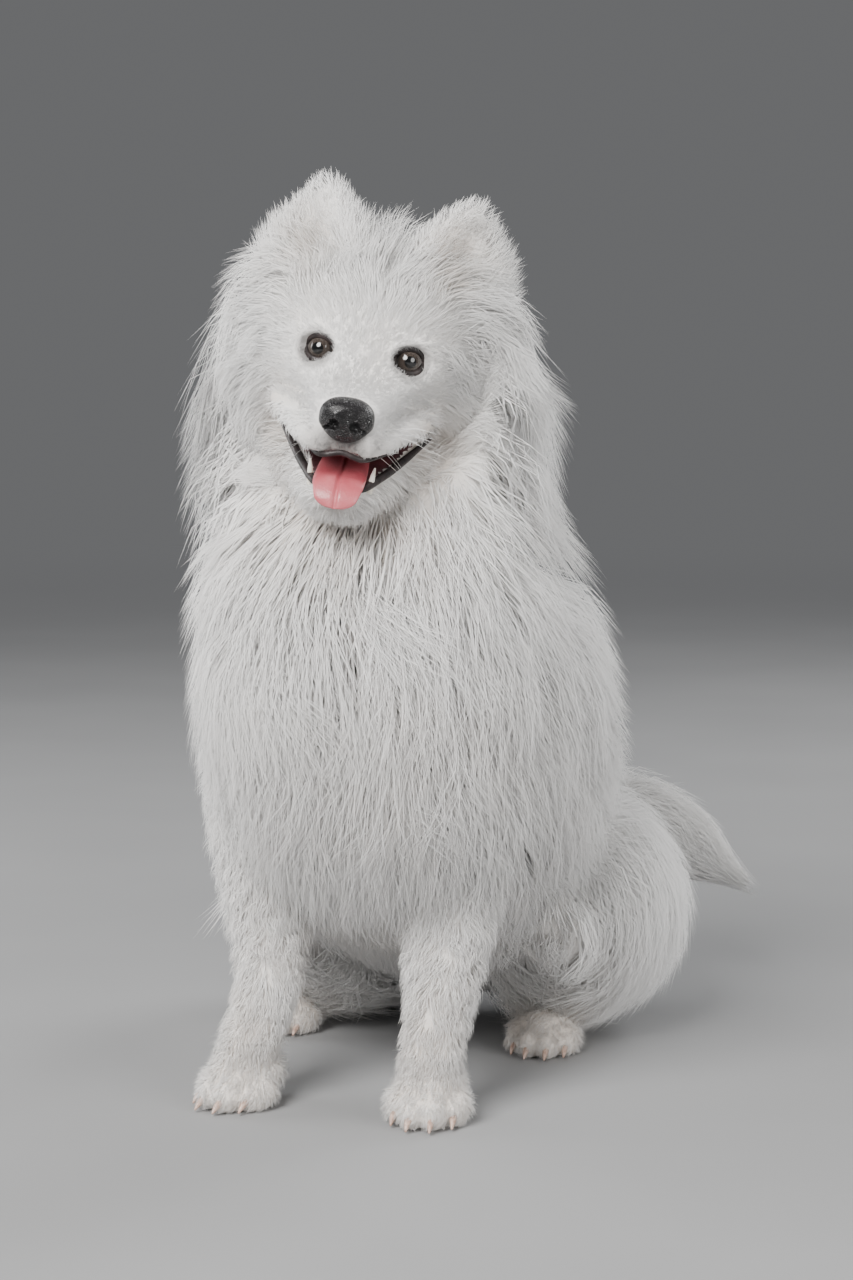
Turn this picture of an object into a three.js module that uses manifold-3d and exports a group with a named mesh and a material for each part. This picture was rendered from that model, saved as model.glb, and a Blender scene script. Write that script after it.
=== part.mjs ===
// A life-size Samoyed that sits with its mouth open and its head turned to its left.
// Millimetres, +Z up, floor at z = 0. The dog faces -Y, and its left side is +X.
import * as THREE from "three";
import { ConvexGeometry } from "three/addons/geometries/ConvexGeometry.js";
import { mergeVertices } from "three/addons/utils/BufferGeometryUtils.js";
import Module from "manifold-3d";

const wasm = await Module();
wasm.setup();

// Clearances
const GAP = 0.3; // between pieces that touch

// Where the head is: the point midway between the eyes, and its turn in degrees
const HEAD = { at: [25, 20, 548], yaw: 15, roll: 8.6, pitch: 2 };

// Eyes, in the head's frame
const EYE = { radius: 11.3, at: [30, 2, 0], outward: 16, lid: 2.1 };
const EYE_OPENING = { half_width: 10.4, half_height: 7.6, slant: 10 };

// Mouth, in the head's frame: the corners lie at this distance back, where the jaw begins
const MOUTH_BACK = 8;
const UPPER_LIP_LINE = [[MOUTH_BACK, -46], [-12, -52], [-40, -59], [-68, -63], [-110, -67]];
const LOWER_LIP_LINE = [[MOUTH_BACK, -48], [-22, -69], [-64, -86], [-110, -94]];

// Feet, as the middle of each paw on the floor, its turn in degrees and its size against a front paw
const PAWS = {
  forepaw_left: { at: [72, 24], turn: 6, scale: 1 },
  forepaw_right: { at: [-72, 24], turn: -20, scale: 1 },
  hind_foot_left: { at: [97, 240], turn: 4, scale: 0.94 },
  hind_foot_right: { at: [-120, 244], turn: -10, scale: 0.94 },
};

const LEFT = new THREE.Vector3(1, 0, 0);
const DOWN = new THREE.Vector3(0, 0, -1);
const radians = THREE.MathUtils.degToRad;

// The coat: a solid core takes this share of its depth, and locks rooted in the core reach its tips
const CORE = 0.45;
const LOCK = { sink: 12, thickness: 0.2, widths: [1, 0.7], places: [0, 0.5] };

// A rounded tube through stations [x, y, z, side, dorsal, ventral, coat, bib]: a centre, the skin's
// reach to either side, to the dorsal side and to the ventral side, the depth of the coat on it,
// and the depth of the coat on its ventral side.
class Limb {
  constructor(stations, { across = LEFT, square = 2 } = {}) {
    const row = (pick, kind) => new THREE.CatmullRomCurve3(stations.map(pick), false, kind);
    this.centres = row(([x, y, z]) => new THREE.Vector3(x, y, z), "centripetal");
    this.skin = row(([, , , side, dorsal, ventral]) => new THREE.Vector3(side, dorsal, ventral), "catmullrom");
    this.coat = row(([, , , , , , coat = 0, bib = coat]) => new THREE.Vector3(coat, coat, bib), "catmullrom");
    this.across = across;
    this.power = 2 / square;
  }

  // The section at t, with a share of the coat and a clearance added to the skin.
  ring(t, share, grow = 0) {
    const along = this.centres.getTangent(t);
    const side = this.across.clone().addScaledVector(along, -this.across.dot(along)).normalize();
    const reach = this.skin.getPoint(t).addScaledVector(this.coat.getPoint(t), share).addScalar(grow);
    return { centre: this.centres.getPoint(t), reach, along, side, dorsal: side.clone().cross(along) };
  }

  // The point at an angle round a section: 0 is the left side, a quarter turn is dorsal.
  point(ring, angle) {
    const [c, s] = [Math.cos(angle), Math.sin(angle)];
    const across = Math.sign(c) * Math.abs(c) ** this.power * ring.reach.x;
    const upright = Math.sign(s) * Math.abs(s) ** this.power * (s > 0 ? ring.reach.y : ring.reach.z);
    return ring.centre.clone().addScaledVector(ring.side, across).addScaledVector(ring.dorsal, upright);
  }

  // A point at t, past either end too, at a share of the coat's depth
  surface(t, angle, share) {
    const within = Math.min(Math.max(t, 0), 1);
    const ring = this.ring(within, share);
    return this.point(ring, angle).addScaledVector(ring.along, (t - within) * this.centres.getLength());
  }

  // The way out of the coat and the two ways over it, along the limb and round it
  ways(t, angle, share) {
    const step = 0.01;
    const along = this.surface(t + step, angle, share).sub(this.surface(t - step, angle, share));
    const round = this.surface(t, angle + step, share).sub(this.surface(t, angle - step, share));
    const out = along.clone().cross(round).normalize();
    return { out, along: along.divideScalar(2 * step), round: round.divideScalar(2 * step) };
  }

  // Whether a point lies inside the limb, taken with a share of its coat
  holds(point, share) {
    const slices = 24;
    const reach = this.centres.getLength() / slices;
    for (let i = 0; i <= slices; i++) {
      const ring = this.ring(i / slices, share);
      const from = point.clone().sub(ring.centre);
      if (Math.abs(from.dot(ring.along)) > reach) continue;
      const upright = from.dot(ring.dorsal);
      const across = Math.abs(from.dot(ring.side) / ring.reach.x);
      const above = Math.abs(upright / (upright > 0 ? ring.reach.y : ring.reach.z));
      if (across ** (2 / this.power) + above ** (2 / this.power) < 1) return true;
    }
    return false;
  }

  // The closed surface of the stretch from one t to another
  geometry(sides, steps, grow = 0, [from, to] = [0, 1]) {
    const points = [];
    for (let i = 0; i <= steps; i++) {
      const ring = this.ring(from + ((to - from) * i) / steps, CORE, grow);
      ring.centre.addScaledVector(ring.along, i === 0 ? -grow : i === steps ? grow : 0);
      for (let j = 0; j < sides; j++) points.push(this.point(ring, (2 * Math.PI * j) / sides));
    }
    const faces = [];
    for (let i = 0; i < steps; i++)
      for (let j = 0; j < sides; j++) {
        const [a, b] = [i * sides + j, i * sides + ((j + 1) % sides)];
        faces.push(a, a + sides, b, b, a + sides, b + sides);
      }
    for (const [t, first, way] of [[from, 0, -1], [to, steps * sides, 1]]) {
      const ring = this.ring(t, CORE, grow);
      const bulge = 0.3 * Math.min(ring.reach.x, ring.reach.y) + grow;
      points.push(ring.centre.addScaledVector(ring.along, way * bulge));
      for (let j = 0; j < sides; j++) {
        const edge = [first + j, first + ((j + 1) % sides)];
        faces.push(points.length - 1, ...(way < 0 ? edge : edge.reverse()));
      }
    }
    return new THREE.BufferGeometry().setFromPoints(points).setIndex(faces);
  }
}

// Turns a closed geometry into a solid.
function solid(geometry) {
  const bare = new THREE.BufferGeometry().setAttribute("position", geometry.getAttribute("position"));
  bare.setIndex(geometry.index);
  const merged = mergeVertices(bare, 1e-3);
  return new wasm.Manifold(
    new wasm.Mesh({
      numProp: 3,
      vertProperties: merged.attributes.position.array,
      triVerts: new Uint32Array(merged.index.array),
    }),
  );
}

const join = (geometries) => wasm.Manifold.union(geometries.map(solid));

// An ellipsoid, turned by degrees about x, y and z.
function ball([x, y, z], [rx, ry, rz], { sides = 12, rings = 8, turn = [0, 0, 0] } = {}) {
  const geometry = new THREE.SphereGeometry(1, sides, rings);
  geometry.rotateX(Math.PI / 2).scale(rx, ry, rz);
  geometry.rotateX(radians(turn[0])).rotateY(radians(turn[1])).rotateZ(radians(turn[2]));
  return geometry.translate(x, y, z);
}

// A prism across the whole head, from a side profile of [y, z] points in order.
function prism(profile, halfWidth = 120) {
  const shape = new THREE.Shape(profile.map(([y, z]) => new THREE.Vector2(y, z)));
  const geometry = new THREE.ExtrudeGeometry(shape, { depth: 2 * halfWidth, bevelEnabled: false });
  const sideways = new THREE.Matrix4().set(0, 0, 1, -halfWidth, 1, 0, 0, 0, 0, 1, 0, 0, 0, 0, 0, 1);
  return geometry.applyMatrix4(sideways);
}

// Stations for the other side, moved in by some distance, since the dog sits a little askew
const otherSide = (stations, inward = 0) => stations.map(([x, ...rest]) => [inward - x, ...rest]);
const grown = (size, grow) => size.map((r) => r + grow);

// Random numbers from 0 to 1, the same on every run
function randomFrom(seed) {
  let state = seed;
  return () => {
    state = (state * 1664525 + 1013904223) % 4294967296;
    return state / 4294967296;
  };
}

// A lock of the coat: a flat wedge that leaves the core at [t, angle], follows the form along a
// course given per millimetre, bends to one side and tapers to a tip.
function lock(limb, { t, angle, course, length, width, bend, lift }, grow) {
  const place = (u) => {
    const far = length * u;
    const share = CORE + lift * (1 - CORE) * u * (2 - u);
    return [t + course[0] * far, angle + course[1] * far + bend * u * u, share];
  };
  const points = [];
  LOCK.places.forEach((u, i) => {
    const middle = limb.surface(...place(u));
    const { out } = limb.ways(...place(u));
    const ahead = limb.surface(...place(u + 0.1)).sub(middle).normalize();
    const across = ahead.clone().cross(out).normalize();
    const half = (LOCK.widths[i] * width) / 2 + 6 * grow;
    if (u === 0) middle.addScaledVector(out, -LOCK.sink).addScaledVector(ahead, -grow);
    middle.addScaledVector(out, -grow);
    points.push(middle.clone().addScaledVector(across, -half), middle.clone().addScaledVector(across, half));
    points.push(middle.addScaledVector(out, LOCK.thickness * LOCK.widths[i] * width + 3 * grow));
  });
  const end = limb.surface(...place(1));
  const bent = limb.surface(...place(LOCK.places[1]));
  points.push(end.addScaledVector(end.clone().sub(bent).normalize(), 6 * grow));
  return [new ConvexGeometry(points.slice(0, 6)), new ConvexGeometry(points.slice(3))];
}

// Rows of locks over a limb. They lie along it by flow and hang by fall, and none is rooted where
// skip says that another piece covers it.
const bare = () => false;
function coat(limb, grow, options) {
  const { seed, rows, gap, length, span = [0, 1], arc = [0, 360], flow = 1, fall = 0, skip = bare } = options;
  const random = randomFrom(seed);
  const vary = (amount) => 1 + amount * (2 * random() - 1);
  const locks = [];
  for (let row = 0; row < rows; row++) {
    const t = span[0] + ((row + 0.5) / rows) * (span[1] - span[0]);
    const { reach } = limb.ring(t, 0.7);
    const girth = (Math.PI * (reach.x + (reach.y + reach.z) / 2) * (arc[1] - arc[0])) / 360;
    const count = Math.max(2, Math.round(girth / gap));
    for (let i = 0; i < count; i++) {
      const share = (i + (row % 2) / 2 + 0.2 * (random() - 0.5)) / count;
      const angle = radians(arc[0] + share * (arc[1] - arc[0]));
      const start = t + ((random() - 0.5) * 0.3 * (span[1] - span[0])) / rows;
      const { along, round, out } = limb.ways(start, angle, CORE);
      const lie = along.clone().normalize().multiplyScalar(flow).addScaledVector(DOWN, fall);
      lie.addScaledVector(out, -lie.dot(out)).normalize();
      const least = (0.6 * limb.centres.getLength()) ** 2;
      const course = [lie.dot(along) / Math.max(along.lengthSq(), least), lie.dot(round) / round.lengthSq()];
      const room = course[0] > 0 ? (1.04 - start) / course[0] : Infinity;
      const size = { length: Math.min(length * vary(0.15), room), width: gap * vary(0.08) };
      const bend = 0.16 * (random() - 0.5);
      if (skip(limb.surface(start, angle, CORE))) continue;
      locks.push(...lock(limb, { t: start, angle, course, ...size, bend, lift: vary(0.1) }, grow));
    }
  }
  return locks;
}

// Frames in which the head and the feet are built
function frame(at, [x, y, z]) {
  const group = new THREE.Group();
  group.position.set(...at);
  group.rotation.set(radians(x), radians(y), radians(z), "ZYX");
  group.updateMatrixWorld(true);
  return group;
}
const headFrame = frame(HEAD.at, [HEAD.pitch, HEAD.roll, HEAD.yaw]);
const bodyFrame = frame([0, 0, 0], [0, 0, 0]);
const inHead = (geometries) => join(geometries.map((g) => g.applyMatrix4(headFrame.matrixWorld)));

// Head
const FACE = new Limb(
  [
    [0, -84, -41, 15, 11, 24, 0],
    [0, -72, -38, 23, 13, 34, 0],
    [0, -50, -33, 28, 13, 40, 1],
    [0, -28, -25, 34, 14, 42, 2],
    [0, -8, -17, 46, 27, 48, 4],
    [0, 16, -12, 60, 52, 72, 12],
    [0, 44, -8, 66, 55, 78, 34],
    [0, 80, -2, 62, 48, 72, 58],
    [0, 108, 2, 46, 36, 54, 62],
    [0, 124, 4, 22, 18, 26, 56],
  ],
  { square: 2.3 },
);

function eyeball(side, grow) {
  const [x, y, z] = EYE.at;
  return inHead([ball([side * x, y, z], grown([EYE.radius, EYE.radius, EYE.radius], grow))]);
}

// The almond between the lids, as a prism along the eye's gaze.
function eyeOpening(side) {
  const { half_width: w, half_height: h } = EYE_OPENING;
  const shape = new THREE.Shape();
  shape.moveTo(-w, 0);
  shape.bezierCurveTo(-w * 0.5, h * 1.3, w * 0.5, h * 1.35, w, 0);
  shape.bezierCurveTo(w * 0.45, -h * 1.25, -w * 0.5, -h * 1.25, -w, 0);
  const geometry = new THREE.ExtrudeGeometry(shape, { depth: 30, bevelEnabled: false, curveSegments: 6 });
  geometry.rotateZ(radians(side * EYE_OPENING.slant)).rotateX(Math.PI / 2);
  geometry.rotateZ(radians(side * EYE.outward));
  const [x, y, z] = EYE.at;
  return geometry.translate(side * x, y, z);
}

// A rim of lip that follows a line on both sides of the face
function lip(half, radius, sections, grow) {
  const stations = [...half.map(([x, y, z]) => [-x, y, z]), ...half.slice(0, -1).reverse()];
  const rim = new Limb(
    stations.map((p) => [...p, radius, radius, radius]),
    { across: new THREE.Vector3(0, 0, 1) },
  );
  return inHead([rim.geometry(5, sections, grow)]);
}
const UPPER_LIP = [[54, 7, -47], [45, -12, -52], [32, -42, -59], [24, -64, -63], [13, -82, -66], [0, -84, -63]];
const LOWER_LIP = [[54, 5, -52], [38, -24, -69], [26, -50, -80], [15, -68, -87], [0, -73, -88]];

const JAW = new Limb(
  [
    [0, -72, -97, 12, 7, 8],
    [0, -60, -95, 20, 12, 14],
    [0, -36, -88, 28, 18, 19],
    [0, -10, -78, 41, 24, 26],
    [0, 12, -68, 53, 28, 34],
    [0, 30, -62, 50, 24, 34],
  ],
  { square: 2.3 },
);

function lowerJaw(grow) {
  const above = [...LOWER_LIP_LINE, [-110, 60], [60, 60], [60, -160], [MOUTH_BACK - GAP, -160]];
  return inHead([JAW.geometry(14, 7, grow)]).subtract(inHead([prism(above)]));
}

const TONGUE = new Limb([
  [0, 14, -58, 14, 3, 4],
  [0, -26, -70, 17, 3.4, 4],
  [0, -58, -80, 19.5, 3.4, 3.6],
  [0, -76, -86, 20, 3.4, 3.4],
  [0, -83, -94, 18, 3, 3],
  [0, -85, -101, 11, 2, 2],
]);
function tongue(grow) {
  const throat = [[MOUTH_BACK - GAP, 0], [MOUTH_BACK - GAP, -160], [60, -160], [60, 0]];
  return inHead([TONGUE.geometry(10, 8, grow)]).subtract(inHead([prism(throat)]));
}

const NOSE = new Limb(
  [
    [0, -95, -42, 10, 7, 10],
    [0, -91, -41, 17, 12, 15],
    [0, -83, -39, 19, 14, 17],
    [0, -74, -37, 16, 12, 12],
  ],
  { square: 2.4 },
);

function nose(grow) {
  const holes = [-1, 1].map((side) => {
    const turn = [0, side * 35, side * 25];
    return ball([side * 8.5, -97, -43], grown([4, 8, 3.4], -grow), { sides: 8, rings: 5, turn });
  });
  return inHead([NOSE.geometry(12, 6, grow)]).subtract(inHead(holes));
}

// A lower canine tooth
function canine(side, grow) {
  const tooth = new Limb([
    [side * 20.5, -57, -90, 3.4, 3.4, 3.4],
    [side * 21.5, -60, -80, 2.6, 2.6, 2.6],
    [side * 22.5, -61, -71, 1, 1, 1],
  ]);
  return inHead([tooth.geometry(6, 3, grow)]);
}

// Ears: a flattened cone with a cup cut into its front
const EAR = { root: [46, 68, 50], turn: 22, lean: { left: 3, right: -9 } };
const EAR_SHELL = [
  [44, 68, 30, 42, 20, 26, 2],
  [47, 70, 56, 41, 16, 22, 2],
  [50, 71, 80, 35, 13, 17, 2],
  [53, 72, 102, 25, 10, 13, 2],
  [56, 72, 118, 14, 7, 8, 2],
  [57, 72, 127, 6, 4, 4.5, 1],
];
const EAR_CUP = [
  [48, 50, 46, 16, 9, 8],
  [51, 52, 62, 22, 10, 10],
  [54, 56, 84, 18, 10, 9],
  [57, 61, 103, 9, 8, 6],
  [59, 66, 114, 3, 5, 4],
];

// An ear's limb, leaning about its root and turned outward
function earLimb(stations, side) {
  const lean = new THREE.Euler(0, radians(side * (side > 0 ? EAR.lean.left : EAR.lean.right)), 0);
  const root = new THREE.Vector3(side * EAR.root[0], EAR.root[1], EAR.root[2]);
  const leant = stations.map(([x, y, z, ...size]) => {
    const centre = new THREE.Vector3(side * x, y, z).sub(root).applyEuler(lean).add(root);
    return [...centre.toArray(), ...size];
  });
  const facing = radians(side * EAR.turn);
  return new Limb(leant, { across: new THREE.Vector3(Math.cos(facing), Math.sin(facing), 0) });
}
const EARS = { left: earLimb(EAR_SHELL, 1), right: earLimb(EAR_SHELL, -1) };

function ear(side, grow) {
  const limb = side > 0 ? EARS.left : EARS.right;
  return inHead([limb.geometry(10, 6, grow)]).subtract(inHead([earLimb(EAR_CUP, side).geometry(8, 5, -grow)]));
}

// Whether a point in the head's frame lies in an ear
const inEar = (point) => EARS.left.holds(point, 2) || EARS.right.holds(point, 2);

// The cheeks carry locks up to the ears, and the neck's coat stands behind the crown
const CHEEK = { rows: 2, span: [0.56, 0.86], gap: 56, length: 86, flow: 0.5, fall: 1.1, skip: inEar };
const headCoat = (grow) => [
  ...coat(FACE, grow, { seed: 11, arc: [-65, 18], ...CHEEK }),
  ...coat(FACE, grow, { seed: 12, arc: [162, 245], ...CHEEK }),
];
const headOutside = (grow) => inHead([FACE.geometry(16, 14, grow), ...headCoat(grow)]);

// The skull with its lids, its brows and the pads of its whiskers
function head(grow) {
  const features = [-1, 1].flatMap((side) => {
    const [x, y, z] = EYE.at;
    const lid = EYE.radius + EYE.lid + grow;
    return [
      ball([side * x, y, z], [lid, lid, lid]),
      ball([side * 27, 12, 17], grown([19, 17, 10], grow), { sides: 10, rings: 6, turn: [0, side * 14, 0] }),
      ball([side * 13, -68, -51], grown([13, 17, 13], grow), { sides: 10, rings: 6 }),
    ];
  });
  const whole = inHead([FACE.geometry(16, 14, grow), ...headCoat(grow), ...features]);
  const below = [...UPPER_LIP_LINE, [-110, -160], [MOUTH_BACK, -160]];
  const open = inHead([prism(below), eyeOpening(-1), eyeOpening(1)]);
  return whole.subtract(open);
}

// Neck and trunk, as one limb from the skull to the rump, and the t at which the neck ends
const BODY = new Limb(
  [
    [12, 78, 598, 36, 42, 0, 46, 0],
    [7, 82, 566, 62, 54, 0, 64, 0],
    [2, 84, 520, 70, 62, 4, 70, 0],
    [4, 84, 472, 74, 72, 26, 68, 10],
    [8, 80, 430, 76, 80, 58, 60, 40],
    [14, 86, 382, 86, 86, 86, 54, 60],
    [21, 110, 322, 100, 100, 106, 52, 64],
    [20, 150, 258, 104, 102, 112, 50, 62],
    [16, 202, 200, 96, 94, 96, 48, 46],
    [12, 256, 148, 82, 86, 78, 44, 32],
    [8, 308, 104, 72, 72, 62, 42, 18],
    [6, 344, 80, 46, 44, 46, 40, 16],
  ],
  { square: 2.15 },
);
const NECK_END = 0.4;

// Haunch: the thigh from the knee to the rump, which covers the shank
const THIGH = [
  [118, 176, 110, 16, 22, 22, 22],
  [114, 196, 116, 32, 42, 40, 34],
  [106, 238, 120, 46, 58, 56, 42],
  [94, 296, 110, 56, 64, 60, 42],
  [86, 350, 92, 56, 58, 52, 42],
  [84, 390, 74, 42, 44, 42, 38],
  [83, 408, 64, 20, 22, 22, 30],
];
const THIGHS = { left: new Limb(THIGH), right: new Limb(otherSide(THIGH, 20)) };

const fromHead = headFrame.matrixWorld.clone().invert();
const inHeadOrJaw = (point) => {
  const local = point.clone().applyMatrix4(fromHead);
  return FACE.holds(local, 0.5) || JAW.holds(local, 1);
};
const inHaunch = (point) => THIGHS.left.holds(point, 0.8) || THIGHS.right.holds(point, 0.8);

function neck(grow) {
  const ruff = { seed: 21, rows: 4, span: [0.03, NECK_END], gap: 74, length: 100, skip: inHeadOrJaw };
  return join([BODY.geometry(16, 7, grow, [0, NECK_END]), ...coat(BODY, grow, ruff)]);
}

function trunk(grow) {
  const hair = { seed: 31, rows: 4, span: [NECK_END, 0.81], gap: 80, length: 112, fall: 0.4, skip: inHaunch };
  return join([BODY.geometry(16, 10, grow, [NECK_END, 1]), ...coat(BODY, grow, hair)]);
}

function haunch(side, grow) {
  const skip = (point) => BODY.holds(point, 0.7);
  const seed = side === "left" ? 51 : 52;
  const hair = { seed, rows: 4, span: [0, 0.94], gap: 80, length: 90, flow: 0.6, fall: 0.8, skip };
  return join([THIGHS[side].geometry(12, 7, grow), ...coat(THIGHS[side], grow, hair)]);
}

// Forelegs
const FORELEGS = {
  left: [
    [62, 70, 300, 34, 40, 38, 10],
    [70, 88, 240, 33, 38, 32, 14],
    [74, 84, 205, 31, 34, 27, 14],
    [74, 64, 150, 25, 26, 23, 11],
    [74, 48, 104, 20, 21, 19, 8],
    [73, 38, 74, 18, 18, 18, 5],
    [72, 28, 46, 17, 15, 15, 4],
    [72, 22, 28, 17, 13, 14, 4],
  ],
  right: [
    [-64, 70, 300, 34, 40, 38, 10],
    [-76, 88, 240, 33, 38, 32, 14],
    [-74, 82, 205, 30, 33, 26, 14],
    [-66, 64, 150, 23, 25, 22, 11],
    [-60, 48, 104, 18, 19, 18, 7],
    [-60, 38, 78, 17, 17, 17, 5],
    [-68, 28, 46, 17, 15, 15, 4],
    [-72, 22, 28, 17, 13, 14, 4],
  ],
};
function foreleg(side, grow) {
  const limb = new Limb(FORELEGS[side]);
  const skip = (point) => BODY.holds(point, 0.8);
  const seed = side === "left" ? 61 : 62;
  const feather = { seed, rows: 3, span: [0.25, 0.72], arc: [25, 155], gap: 30, length: 52, skip };
  return join([limb.geometry(12, 9, grow, [0.08, 1]), ...coat(limb, grow, feather)]);
}

// A paw: a rounded middle, four toes and their claws
const TOES = [[-21, -8], [-8, -21], [8, -21], [21, -8]];

function paw(name, grow, extra = []) {
  const { at, turn, scale } = PAWS[name];
  const pieces = [ball([0, 4, 21], grown([24, 30, 20], grow), { sides: 10, rings: 5 })];
  for (const [x, y] of TOES) {
    pieces.push(ball([x, y, 11], grown([9.5, 17, 13], grow), { sides: 8, rings: 4, turn: [14, 0, x * -0.5] }));
    const claw = new Limb([
      [x, y - 12, 9, 3, 3, 3],
      [x * 1.04, y - 19, 6, 2.2, 2.2, 2.2],
      [x * 1.06, y - 23, 2.5, 0.8, 0.8, 0.8],
    ]);
    pieces.push(claw.geometry(4, 1, grow));
  }
  const matrix = frame([at[0], at[1], 0], [0, 0, turn]).matrixWorld;
  const placed = pieces.map((g) => g.scale(scale, scale, scale).applyMatrix4(matrix));
  return join([...placed, ...extra]);
}

// The hind foot also has the long bones that lie on the floor back to the hock
const METATARSUS = {
  hind_foot_left: [
    [106, 358, 24, 12, 14, 14],
    [106, 344, 24, 19, 22, 26],
    [102, 300, 20, 18, 18, 22],
    [98, 256, 18, 19, 18, 20],
    [97, 236, 18, 19, 17, 20],
  ],
  hind_foot_right: [
    [-90, 358, 24, 12, 14, 14],
    [-92, 344, 24, 19, 22, 26],
    [-102, 300, 20, 18, 18, 22],
    [-115, 258, 18, 19, 18, 20],
    [-119, 240, 18, 19, 17, 20],
  ],
};
const hindFoot = (name, grow) => paw(name, grow, [new Limb(METATARSUS[name]).geometry(8, 4, grow)]);

// Tail
const TAIL = new Limb(
  [
    [0, 352, 96, 18, 18, 18, 24],
    [42, 404, 136, 16, 16, 16, 30],
    [96, 444, 150, 14, 14, 14, 30],
    [150, 474, 130, 10, 10, 10, 22],
    [190, 494, 100, 4, 4, 4, 6],
  ],
  { across: new THREE.Vector3(0.8, -0.6, 0) },
);
function tail(grow) {
  const skip = (point) => BODY.holds(point, 0.8) || inHaunch(point);
  const plume = { seed: 71, rows: 4, span: [0.1, 0.9], gap: 42, length: 62, fall: 0.1, skip };
  return join([TAIL.geometry(10, 7, grow), ...coat(TAIL, grow, plume)]);
}

// Each node is cut clear of those before it, so what lies outermost comes first
const PARTS = [
  ["eye_left", "eye", headFrame, (grow) => eyeball(1, grow)],
  ["eye_right", "eye", headFrame, (grow) => eyeball(-1, grow)],
  ["nose", "leather", headFrame, nose],
  ["tongue", "tongue", headFrame, tongue],
  ["canine_lower_left", "tooth", headFrame, (grow) => canine(1, grow)],
  ["canine_lower_right", "tooth", headFrame, (grow) => canine(-1, grow)],
  ["upper_lip", "leather", headFrame, (grow) => lip(UPPER_LIP, 2.6, 16, grow)],
  ["lower_lip", "leather", headFrame, (grow) => lip(LOWER_LIP, 2.6, 14, grow)],
  ["lower_jaw", "fur", headFrame, lowerJaw],
  ["ear_left", "fur", headFrame, (grow) => ear(1, grow)],
  ["ear_right", "fur", headFrame, (grow) => ear(-1, grow)],
  ["head", "fur", headFrame, head, headOutside],
  ["neck", "fur", bodyFrame, neck],
  ["forepaw_left", "fur", bodyFrame, (grow) => paw("forepaw_left", grow)],
  ["forepaw_right", "fur", bodyFrame, (grow) => paw("forepaw_right", grow)],
  ["hind_foot_left", "fur", bodyFrame, (grow) => hindFoot("hind_foot_left", grow)],
  ["hind_foot_right", "fur", bodyFrame, (grow) => hindFoot("hind_foot_right", grow)],
  ["haunch_left", "fur", bodyFrame, (grow) => haunch("left", grow)],
  ["haunch_right", "fur", bodyFrame, (grow) => haunch("right", grow)],
  ["trunk", "fur", bodyFrame, trunk],
  ["foreleg_left", "fur", bodyFrame, (grow) => foreleg("left", grow)],
  ["foreleg_right", "fur", bodyFrame, (grow) => foreleg("right", grow)],
  ["tail", "fur", bodyFrame, tail],
];

const MATERIALS = {
  fur: { color: 0xf1eeea, roughness: 0.9, metalness: 0 },
  eye: { color: 0x1c1512, roughness: 0.08, metalness: 0 },
  leather: { color: 0x141315, roughness: 0.45, metalness: 0 },
  tongue: { color: 0xc9606c, roughness: 0.4, metalness: 0 },
  tooth: { color: 0xf2ecdd, roughness: 0.3, metalness: 0 },
};

// A solid's largest closed surface, in the frame of the group that will hold it.
function meshOf(made, material, group) {
  const [largest] = made.decompose().sort((a, b) => b.volume() - a.volume());
  const { vertProperties, triVerts, numProp } = largest.getMesh();
  const positions = new Float32Array((vertProperties.length / numProp) * 3);
  for (let i = 0; i < positions.length / 3; i++)
    for (let k = 0; k < 3; k++) positions[3 * i + k] = vertProperties[i * numProp + k];
  const geometry = new THREE.BufferGeometry();
  geometry.setAttribute("position", new THREE.BufferAttribute(positions, 3)).setIndex(Array.from(triVerts));
  geometry.applyMatrix4(group.matrixWorld.clone().invert()).computeVertexNormals();
  return new THREE.Mesh(geometry, new THREE.MeshStandardMaterial(MATERIALS[material]));
}

const aboveFloor = solid(new THREE.BoxGeometry(2000, 2000, 1000).translate(0, 0, 500));
const dog = new THREE.Group();
dog.add(headFrame, bodyFrame);
let taken = null;
for (const [name, material, group, build, outside = build] of PARTS) {
  let made = build(0).intersect(aboveFloor);
  if (taken) made = made.subtract(taken);
  const mesh = meshOf(made, material, group);
  mesh.name = name;
  group.add(mesh);
  const reserved = outside(GAP);
  taken = taken ? taken.add(reserved) : reserved;
}

// The origin is put on the floor, at the middle of the dog's length and width
dog.updateMatrixWorld(true);
const middle = new THREE.Box3().setFromObject(dog, true).getCenter(new THREE.Vector3());
dog.position.set(-middle.x, -middle.y, 0);

export default dog;
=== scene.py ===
import math

import bmesh
import bpy
import numpy as np
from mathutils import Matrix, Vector
from mathutils.kdtree import KDTree


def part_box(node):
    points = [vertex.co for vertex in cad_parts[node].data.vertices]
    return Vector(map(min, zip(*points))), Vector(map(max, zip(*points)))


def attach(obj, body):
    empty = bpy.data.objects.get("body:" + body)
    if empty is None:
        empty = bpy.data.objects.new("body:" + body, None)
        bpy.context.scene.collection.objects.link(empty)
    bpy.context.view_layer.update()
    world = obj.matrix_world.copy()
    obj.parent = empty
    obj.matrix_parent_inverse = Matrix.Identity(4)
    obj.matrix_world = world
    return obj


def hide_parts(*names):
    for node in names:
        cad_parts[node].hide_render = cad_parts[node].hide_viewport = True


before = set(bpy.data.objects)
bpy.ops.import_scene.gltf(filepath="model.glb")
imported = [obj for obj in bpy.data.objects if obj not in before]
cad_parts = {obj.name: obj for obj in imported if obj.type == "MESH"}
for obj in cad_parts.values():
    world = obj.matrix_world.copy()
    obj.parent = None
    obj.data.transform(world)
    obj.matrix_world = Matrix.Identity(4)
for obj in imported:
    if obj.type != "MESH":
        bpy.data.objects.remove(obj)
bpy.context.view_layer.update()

# Sizes repeat those of the solids: millimetres, +Z up, floor at z = 0, the dog faces -Y and its left
# side is +X. A point is moved to the part's own frame and to metres by to_scene.

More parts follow.
